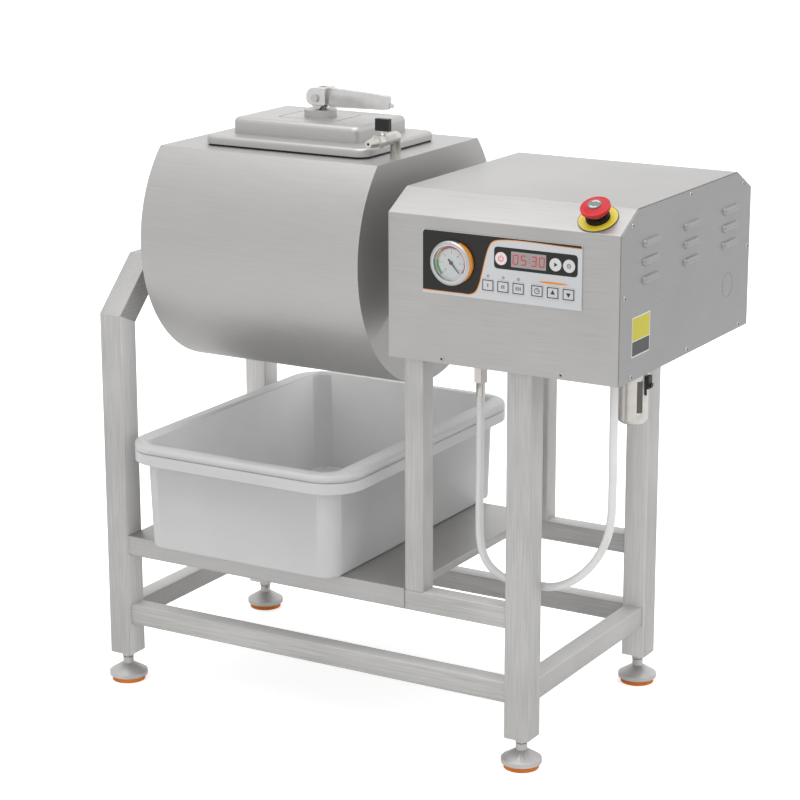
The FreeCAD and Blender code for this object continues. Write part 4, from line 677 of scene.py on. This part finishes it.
def turned(profile):
    """Spin a profile of (radius, height) points about z into a closed solid."""
    shape = bmesh.new()
    points = [shape.verts.new((radius, 0, height)) for radius, height in profile]
    for one, other in zip(points, points[1:]):
        shape.edges.new((one, other))
    bmesh.ops.spin(shape, geom=shape.verts[:] + shape.edges[:], axis=(0, 0, 1), angle=math.tau, steps=48,
                   use_merge=True)
    bmesh.ops.remove_doubles(shape, verts=shape.verts, dist=0.0001)
    bmesh.ops.recalc_face_normals(shape, faces=shape.faces)
    return shape


def joined(*shapes):
    """Put several shapes into one."""
    whole = bmesh.new()
    for shape in shapes:
        part = bpy.data.meshes.new("part")
        shape.to_mesh(part)
        shape.free()
        whole.from_mesh(part)
        bpy.data.meshes.remove(part)
    return whole


def flat_mesh(line, thickness):
    """Turn a filled flat curve or a text into a body of that thickness."""
    holder = bpy.data.objects.new("print", line)
    mesh = bpy.data.meshes.new_from_object(holder)
    shape = bmesh.new()
    shape.from_mesh(mesh)
    bpy.data.objects.remove(holder)
    bpy.data.meshes.remove(mesh)
    bmesh.ops.remove_doubles(shape, verts=shape.verts, dist=0.001)
    return thicken(shape, thickness)


def printed_outline(loops, thickness):
    """Fill flat loops of (x, y, rounded) points: the first is the rim, and the others are holes in it."""
    line = bpy.data.curves.new("print", "CURVE")
    line.dimensions, line.fill_mode, line.resolution_u = "2D", "BOTH", 8
    for loop in loops:
        spline = line.splines.new("BEZIER")
        spline.use_cyclic_u = True
        spline.bezier_points.add(len(loop) - 1)
        for point, (x, y, rounded) in zip(spline.bezier_points, loop):
            point.co = (x, y, 0)
            point.handle_left_type = point.handle_right_type = "AUTO" if rounded else "VECTOR"
    return flat_mesh(line, thickness)


def lettering(text, size, thickness):
    """Plain figures, centred, for the dial."""
    line = bpy.data.curves.new("digits", "FONT")
    line.body, line.size, line.align_x, line.align_y = text, size, "CENTER", "CENTER"
    return flat_mesh(line, thickness)


def round_loop(x, y, radius):
    """Four points that a smooth curve takes round a circle."""
    return [(x + radius, y, True), (x, y + radius, True), (x - radius, y, True), (x, y - radius, True)]


def middle_of(node):
    low, high = box_of(node)
    return (low + high) / 2


test = card(40, 20, 2, 3)
print("a card with rounded corners has", len(test.faces), "faces")
test.free()

# %% [markdown]
# ## The control panel
#
# The panel is a thin plate with a polyester film on it: silver, with a black field around the gauge that
# runs on as a stripe along the top edge, and a thin orange line along their border. Films are printed on
# their back in several passes, which is why we build them as layers a tenth of a millimetre thick, the
# black one over the orange one. The words of the real thing are left away, and simple signs take their
# place.

# %% Film and stripe
plate_low, plate_high = box_of("control_panel")
plate_width, plate_height = plate_high.x - plate_low.x, plate_high.z - plate_low.z
INK = 0.1


def on_plate(x, z, rise=0.0):
    """A place on the plate, from its lower left corner, rise millimetres in front of its face."""
    return front_wall(plate_low.x + x, plate_low.y - rise, plate_low.z + z)


def print_on_plate(name, shape, finish, x=0.0, z=0.0, rise=0.0):
    finish_piece(name, shape, "frame", "panel_black", finish, on_plate(x, z, rise))


def plate_place(node):
    """Where a node's middle stands on the plate."""
    middle = middle_of(node)
    return middle.x - plate_low.x, middle.z - plate_low.z


FIELD_BOW = [(61.3, 4.8), (73.6, 5.2), (81.2, 9.4), (85.7, 17.5), (90.2, 33.0), (96.1, 56.7), (101.3, 72.2),
             (106.5, 79.5), (118.5, 83.4)]
gauge_x, gauge_z = plate_place("gauge_dial")


def black_field(grown):
    """The black field with a hole for the gauge: its lower border moves out by grown millimetres."""
    rim = [(0.5, 4.8 - grown, False)]
    rim += [(x + grown * 0.8, z - grown * 0.8, True) for x, z in FIELD_BOW]
    rim += [(plate_width - 0.5, 83.5 - grown, False), (plate_width - 0.5, 84.8, False),
            (plate_width - 1.1, 86.2, True), (plate_width - 2.6, plate_height - 0.3, False),
            (4.5, plate_height - 0.3, False), (1.7, plate_height - 1.5, True),
            (0.5, plate_height - 4.3, False)]
    return [rim, round_loop(gauge_x, gauge_z, 28)]


dress("control_panel", silver_film)
print_on_plate("panel_orange_line", printed_outline(black_field(1.2), INK * 0.6), orange_print)
print_on_plate("panel_black_field", printed_outline(black_field(0.0), INK), panel_film)
print("the black field and its line")

# %% [markdown]
# ## The display bar
#
# A second black print, a bar with round corners, carries the window of the display. Three round keys
# come through holes in it.

# %% Display bar
BAR_LOW, BAR_HIGH, BAR_CORNER = (109.7, 44.3), (233.8, 74.0), 5.0
WINDOW_MIDDLE = (161.3, 59.0)
KEY_HOLE = 8.95


def rounded_loop(low, high, corner):
    """A rectangle whose corners are passed in a bow."""
    cut_in = corner * (1 - math.sqrt(0.5))
    points = []
    for x, inward_x, z, inward_z, flip in ((low[0], 1, low[1], 1, False), (high[0], -1, low[1], 1, True),
                                           (high[0], -1, high[1], -1, False), (low[0], 1, high[1], -1, True)):
        start, end = (x, z + inward_z * corner, False), (x + inward_x * corner, z, False)
        middle = (x + inward_x * cut_in, z + inward_z * cut_in, True)
        points += [end, middle, start] if flip else [start, middle, end]
    return points


key_holes = [round_loop(*plate_place(key), KEY_HOLE) for key in ("power_key", "start_key", "set_key")]
bar_loops = [rounded_loop(BAR_LOW, BAR_HIGH, BAR_CORNER)] + key_holes
print_on_plate("display_bar", printed_outline(bar_loops, INK), panel_film, rise=0.05)
print_on_plate("display_window", card(52, 21, INK, 0.6), display_window, *WINDOW_MIDDLE, 0.15)
print("the display bar and its window")

# %% [markdown]
# ## The display's digits
#
# A clock display builds each digit from seven bars with pointed ends. We make one bar as a card whose
# corners are cut, and a small table says which bars are lit.

# %% Seven-bar digits
DIGIT_WIDTH, DIGIT_HEIGHT, BAR, BAR_GAP = 8.6, 13.6, 1.5, 0.5
SQUEEZE, LEAN = 0.9, 0.05
LIT = {"0": "abcdef", "3": "abcdg", "5": "acdfg"}
BAR_PLACES = {
    "a": (0, DIGIT_HEIGHT / 2, 0), "g": (0, 0, 0), "d": (0, -DIGIT_HEIGHT / 2, 0),
    "f": (-1, DIGIT_HEIGHT / 4, 90), "b": (1, DIGIT_HEIGHT / 4, 90),
    "e": (-1, -DIGIT_HEIGHT / 4, 90), "c": (1, -DIGIT_HEIGHT / 4, 90),
}


def digit(number, x):
    """One digit, leaning a little to the right, centred at x."""
    lit_bars = []
    for name in LIT[number]:
        side, rise, turn = BAR_PLACES[name]
        length = (DIGIT_HEIGHT / 2 if turn else DIGIT_WIDTH - BAR) - BAR_GAP
        bar = card(length, BAR, INK, 0.7, rounds=1)
        lit_bars.append(moved(bar, side * (DIGIT_WIDTH - BAR) / 2, rise * SQUEEZE, 0, turn))
    whole = joined(*lit_bars)
    for corner in whole.verts:
        corner.co.x += corner.co.y * LEAN + x
    return whole


DIGIT_PLACES = (142.0, 154.0, 169.2, 181.0)
COLON_PLACE, COLON_RISE = 162.2, 2.4
dots = [moved(disc(0.9, INK, 12), COLON_PLACE - WINDOW_MIDDLE[0], y) for y in (COLON_RISE, -COLON_RISE)]
time_digits = [digit(number, x - WINDOW_MIDDLE[0]) for number, x in zip("0530", DIGIT_PLACES)]
print_on_plate("display_digits", joined(*time_digits, *dots), red_segments, *WINDOW_MIDDLE, 0.25)
print("four digits and a colon")

# %% [markdown]
# ## Keys and their signs
#
# The three round keys and six square ones are caps that come through the film. Each sign is printed on
# its own key and rides on it, so it sinks with it when the key is pressed. A square key has a thin frame
# round its sign.

# %% Keys
dress("power_key", power_film)
for node in ("start_key", "set_key"):
    dress(node, key_film)
square_keys = ("mode_key_1", "mode_key_2", "mode_key_3", "time_key", "up_key", "down_key")
for node in square_keys:
    dress(node, silver_film)


def on_key(node):
    """The middle of a key's face."""
    x, z = plate_place(node)
    return on_plate(x, z, plate_low.y - box_of(node)[0].y)


def triangle(size, turn=0.0):
    """A triangle that points up; the circle of three corners starts on its y axis."""
    shape = bmesh.new()
    bmesh.ops.create_circle(shape, cap_ends=True, radius=size, segments=3)
    return moved(thicken(shape, INK), turn=turn)


def bars(count):
    """One, two or three short bars, side by side."""
    return joined(*[moved(card(1.3, 5.0, INK, 0.3), (i - (count - 1) / 2) * 3.0) for i in range(count)])


signs = {
    "power_key": [band(3.0, 4.0, INK, 38, 284), moved(card(1.0, 4.6, INK, 0.4), 0, 2.6)],
    "start_key": [triangle(3.4, -90)],
    "set_key": [band(2.2, 3.1, INK), disc(0.9, INK, 16)],
    "mode_key_1": [bars(1)],
    "mode_key_2": [bars(2)],
    "mode_key_3": [bars(3)],
    "time_key": [band(3.1, 4.0, INK), moved(card(0.8, 2.6, INK), 0, 1.3), moved(card(2.2, 0.8, INK), 1.1)],
    "up_key": [triangle(4.0)],
    "down_key": [triangle(4.0, 180)],
}
for node, shapes in signs.items():
    if node in square_keys:
        shapes.append(frame_line(16.6, 14.8, 1.2, INK))
    finish_piece(node + "_sign", joined(*shapes), body_of_node[node], slot_of(node),
                 red_segments if node == "power_key" else dark_ink, on_key(node))
print(len(signs), "keys with signs")

# %% [markdown]
# ## Small prints on the film
#
# A ring marks the lamp over each of the three left keys, a swelling orange stroke underlines the bar, and
# an orange crescent hugs the gauge. The crescent is thick, because it lies round the gauge's raised case.
# Its two bows are points on circles about the gauge, and a smooth curve runs through them.

# %% Lamps, underline and the gauge's crescent
LAMP_HEIGHT = 32.6
mode_lamps = [moved(band(1.1, 1.8, INK, steps=24), plate_place(key)[0], LAMP_HEIGHT)
              for key in square_keys[:3]]
print_on_plate("mode_lamp_rings", joined(*mode_lamps), dark_ink)
underline = [(175.8, 33.0, False), (182.0, 34.1, True), (198.0, 34.4, True), (214.0, 34.1, True),
             (220.8, 33.0, False), (214.0, 31.9, True), (198.0, 31.6, True), (182.0, 31.9, True)]
print_on_plate("panel_underline", printed_outline([underline], INK), orange_print)
crescent_out = [(23, 30.7), (50, 32.4), (81, 33.0), (112, 32.4), (139, 30.7)]
crescent_in = [(139, 30.0), (110, 30.0), (81, 30.0), (52, 30.0), (23, 30.0)]
crescent = [(gauge_x + radius * math.sin(math.radians(a)), gauge_z + radius * math.cos(math.radians(a)), True)
            for a, radius in crescent_out + crescent_in]
print_on_plate("gauge_crescent", printed_outline([crescent], 5.0), orange_print, rise=INK)
print("lamp rings, underline and crescent")

# %% [markdown]
# ## The vacuum gauge
#
# The dial has a scale: a green, a yellow and a red arc, a tick for each step and plain numbers. It stands
# behind a flat glass in a steel bezel, and a fine pale ring on the bezel's inner lip is a painted
# highlight. The scale opens downwards, so its zero stands low on the left.

# %% Dial
SCALE_START, SCALE_END = -138, 138
STEPS, STEPS_PER_NUMBER = 30, 5
ARC_INNER, ARC_OUTER, TICK_OUTER, NUMBER_RADIUS = 19.8, 23.4, 19.6, 13.2
DIAL_INK = 0.06


def before_gauge(node):
    """A place in the gauge's middle, on the front face of one of its parts."""
    middle = middle_of("gauge_dial")
    return front_wall(middle.x, box_of(node)[0].y, middle.z)


def clock_place(angle, radius):
    return radius * math.sin(math.radians(angle)), radius * math.cos(math.radians(angle))


dress("gauge_case", bezel_steel)
# A pale ring on the bezel's lip: a painted highlight.
finish_piece("gauge_bezel_painted_highlight", band(24.7, 25.8, 0.12), "frame", "polished_steel", key_film,
             before_gauge("gauge_case"))
dress("gauge_dial", dial_enamel)
dress("gauge_needle", needle_paint)
dress("gauge_lens", clear_plastic)
for name, start, end, ink in (("green", SCALE_START, -81, dial_green), ("yellow", -79, -47, dial_yellow),
                              ("red", -46, 128, dial_red)):
    arc = band(ARC_INNER, ARC_OUTER, DIAL_INK, start, end - start, steps=40)
    finish_piece("dial_arc_" + name, arc, "frame", "dial", ink, before_gauge("gauge_dial"))
marks = []
for i in range(STEPS + 1):
    angle = SCALE_START + (SCALE_END - SCALE_START) * i / STEPS
    width, length = (0.25, 1.8) if i % STEPS_PER_NUMBER else (0.45, 3.4)
    x, y = clock_place(angle, TICK_OUTER - length / 2)
    marks.append(moved(card(width, length, DIAL_INK), x, y, 0, -angle))
for i in range(0, STEPS + 1, STEPS_PER_NUMBER):
    x, y = clock_place(SCALE_START + (SCALE_END - SCALE_START) * i / STEPS, NUMBER_RADIUS)
    marks.append(moved(lettering(str(i // STEPS_PER_NUMBER), 4.0, DIAL_INK), x, y))
finish_piece("dial_scale", joined(*marks), "frame", "dial", needle_paint, before_gauge("gauge_dial"))
print("a dial with", len(marks), "ticks and numbers")

# %% [markdown]
# ## The emergency stop
#
# A red mushroom head on a ribbed black collar, over a yellow disc. The ribs give a grip when the collar is
# screwed down. The disc has a thin dark rim. The head carries a grey insert with two pale arcs that show
# which way to twist it free.

# %% Emergency stop
twist = next(joint for joint in behaviour["joints"] if joint["name"] == "stop_twist")
RIGHT = Vector((1, 0, 0))
STOP_PLACE = wall(Vector(twist["pos_m"]) / MM, RIGHT, Vector(twist["axis"]).cross(RIGHT))
LEGEND, COLLAR_TOP, HEAD_LOW, HEAD_TOP = 1.5, 7.5, 12.5, 25.5
COLLAR_RADIUS, RIBS = 15.0, 28


def on_stop(name, shape, height, finish, body="frame", slot="stop_grey"):
    """Add a piece at a height over the slope that the stop stands on."""
    finish_piece(name, moved(shape, z=height), body, slot, finish, STOP_PLACE)


dress("stop_base", stop_grey_plastic)
dress("stop_stem", stop_band_yellow)
dress("stop_button", stop_plastic, 1.2, 1, 5, 2)
on_stop("stop_legend", band(15.2, 26.7, 0.15), LEGEND, stop_yellow)
on_stop("stop_legend_rim", band(26.7, 27.5, 0.12), LEGEND, dark_ink)
sleeve_low = LEGEND + 0.2
profile = [(COLLAR_RADIUS + 0.05, sleeve_low), (COLLAR_RADIUS + 0.6, sleeve_low),
           (COLLAR_RADIUS + 0.6, COLLAR_TOP - 0.4), (COLLAR_RADIUS - 0.4, COLLAR_TOP + 0.2),
           (9.5, COLLAR_TOP + 0.2), (9.5, COLLAR_TOP + 0.05), (COLLAR_RADIUS + 0.05, COLLAR_TOP + 0.05)]
ribs = []
for i in range(RIBS):
    angle = i * 360 / RIBS
    x, y = clock_place(angle, COLLAR_RADIUS + 0.8)
    rib = card(1.5, 1.2, COLLAR_TOP - LEGEND - 0.8, 0.3, rounds=2)
    ribs.append(moved(rib, x, y, sleeve_low, -angle))
on_stop("stop_collar", joined(turned(profile + profile[:1]), *ribs), 0, black_plastic)
on_stop("stop_band", band(8.6, 14.4, 0.65), HEAD_LOW - 0.7, stop_band_yellow, "stop_head", "stop_red")
on_stop("stop_insert", disc(9.2, 0.5), HEAD_TOP - 0.35, insert_grey, "stop_head", "stop_red")
arcs = [band(5.4, 7.4, 0.15, start, 100, steps=16) for start in (-50, 130)]
on_stop("stop_arrows", joined(*arcs), HEAD_TOP + 0.15, key_film, "stop_head", "stop_red")
print("emergency stop with", len(ribs), "ribs")

# %% [markdown]
# ## The plate on the side
#
# A small foil plate is glued to the box's right side, over the filter. It stays plain: a yellow field over
# a dark one, in a pale border.

# %% Side plate
SIDE_SHEET, FOIL, FILM = 1.5, 0.15, 0.1
FOIL_Y = -163
cover_right = box_of("box_cover")[1].x
side_face = cover_right + SIDE_SHEET
for name, width, height, z, corner, thickness, rise, finish in (
        ("border", 56, 54.3, 633.85, 1.5, FOIL, 0.0, plate_border),
        ("yellow", 53, 30.6, 644.1, 0.8, FILM, FOIL, plate_yellow),
        ("dark", 53, 19.2, 618.0, 0.8, FILM, FOIL, plate_dark)):
    finish_piece("side_plate_" + name, card(width, height, thickness, corner), "frame", "sheet_steel", finish,
                 right_wall(side_face + rise, FOIL_Y, z))
print("a plain plate of three layers")

# %% [markdown]
# ## Screw recesses
#
# Every sheet is held by small round-headed screws with a cross recess. We find them in the imported mesh:
# each loose part of the screw node is one screw, and its outermost point is the top of its head. We walk
# from corner to corner along the edges to gather one loose part after the other. A dark cross goes on
# each head: painted shade that stands for the shadow in its recess.

# %% Screw recesses
def loose_parts(shape):
    """The corners of each loose part of a shape, part by part, in the mesh's own order."""
    done = set()
    for first in shape.verts:
        if first in done:
            continue
        done.add(first)
        part = [first]
        for vert in part:
            for near in (edge.other_vert(vert) for edge in vert.link_edges):
                if near not in done:
                    done.add(near)
                    part.append(near)
        yield [vert.co for vert in part]


RECESS, RECESS_TURN = 0.12, 0.6
screws = copy_of("box_screws")
crosses = []
for corners in loose_parts(screws):
    middle = sum(corners, Vector()) / len(corners)
    furthest_right = max(corner.x for corner in corners)
    if furthest_right > cover_right:
        head = right_wall(furthest_right, middle.y, middle.z)
    else:
        head = front_wall(middle.x, min(corner.y for corner in corners), middle.z)
    # Each dark cross and dot is painted shade for the shadow in a screw's recess.
    cross = joined(card(4.0, 1.5, RECESS), card(1.5, 4.0, RECESS), disc(1.3, RECESS + 0.01, 12))
    bmesh.ops.transform(cross, matrix=head @ Matrix.Rotation(RECESS_TURN, 4, "Z"), verts=cross.verts)
    crosses.append(cross)
screws.free()
finish_piece("box_screw_recess_painted_shade", joined(*crosses), "frame", "polished_steel", dark_ink)
print(len(crosses), "screw recesses")

# %% [markdown]
# ## The drum, its lid and the clamp
#
# The drum is rolled sheet with a flat top and two welded ends. The lid is pressed from one sheet, with a
# black seal under its rim. The boss on the lid is turned, and its top edge gets a round of 2.5 mm in three
# steps, only where the metal turns by more than 60 degrees. The lever and the clamp have small bevels
# that catch a line of light.

# %% Drum and lid
for node in ("drum_shell", "drum_left_end", "drum_right_end", "drum_baffles"):
    dress(node, steel_drum)
dress("lid_plate", steel_lid)
dress("lid_seal", black_rubber)
dress("lid_boss", steel_lid, 2.5, 1.0, 15, 3, sharper_than=60)
dress("clamp_bar", polished_steel, 1.0, 10, 20)
dress("lever_pin", polished_steel)
dress("cam_lever", lever_steel, 1.2, 10, 20)
dress("vent_valve", nickel_plate)
dress("valve_handle", black_plastic)

# %% [markdown]
# ## Works inside the box
#
# The bearings are cast housings, the motor and the pump are enamelled, and pinion and gear are machined
# steel. Their shapes are right as they are, so they only get a finish.

# %% Works inside the box
for node, finish in (("left_bearing", cast_aluminium), ("right_bearing", cast_aluminium),
                     ("gearmotor", motor_enamel), ("vacuum_pump", motor_enamel),
                     ("motor_pinion", machined_steel), ("drum_gear", machined_steel)):
    dress(node, finish)

# %% [markdown]
# ## The filter and its fittings
#
# A nickel-plated bowl guard hangs under the box, with a narrow window in its wall and a black latch. The
# window is an arc of smoked plastic that stands in the guard's opening, and it rides on the bowl, so it
# turns with it.

# %% Filter and fittings
dress("filter_head", nickel_plate, 0.6, 10, 20)
dress("filter_bowl", nickel_plate)
dress("filter_latch", black_plastic)
dress("hose_fittings", nickel_plate)
filter_middle = middle_of("filter_bowl")
WINDOW_START, WINDOW_SWEEP, WINDOW_SILL, WINDOW_LENGTH = 113, 28, 17, 44
pane = band(19.2, 19.8, WINDOW_LENGTH, WINDOW_START, WINDOW_SWEEP, steps=8)
pane_place = table_top(filter_middle.x, filter_middle.y, box_of("filter_bowl")[0].z + WINDOW_SILL)
finish_piece("filter_window", pane, "bowl", "nickel", smoked_window, pane_place)
print("a window over", WINDOW_SWEEP, "degrees of the bowl")

# %% [markdown]
# ## The tub
#
# The tub is moulded in one piece. Its outside is smooth, and its inner walls and floor get a lighter,
# rougher finish: the lighter colour is painted light, which brightens the inside that the drum above keeps
# in shade. A wall is an inner one where its face points towards the tub's middle. Its round corners turn
# in steps of less than 60 degrees, so they stay smooth.

# %% Tub
tub_low, tub_high = (Vector(corner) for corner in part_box("tub"))
tub_middle = (tub_low + tub_high) / 2
FLOOR_HEIGHT = 30 * MM


def is_inside(face):
    inwards = (face.center - tub_middle).to_2d().dot(face.normal.to_2d()) < 0
    by_the_floor = face.center.z < tub_low.z + FLOOR_HEIGHT
    return (inwards and abs(face.normal.z) < 0.5) or (face.normal.z > 0.3 and by_the_floor)


# The inner walls and floor get painted light.
repaint(dress("tub", tub_plastic, sharp=60), tub_inside_painted_light, is_inside)

# %% [markdown]
# ## The feet
#
# Each foot is a turned cone on a threaded stem, and stands on a worn orange rubber pad.

# %% Feet
for corner in ("front_left", "front_right", "rear_left", "rear_right"):
    dress("foot_" + corner, foot_steel)
    dress("foot_pad_" + corner, orange_rubber)

# %% [markdown]
# ## Sizes, and the end
#
# The boxes of the solid drawing and of the dressed machine are printed side by side.
# The dressed machine must not outgrow the drawing.

# %% Sizes, and the end
visual_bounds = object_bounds()
[[list(corner) for corner in bounds] for bounds in (cad_bounds, visual_bounds)]
print("solid", [[round(v / MM, 1) for v in c] for c in cad_bounds])
print("shown", [[round(v / MM, 1) for v in c] for c in visual_bounds])
bpy.context.scene.view_settings.view_transform = "Standard"
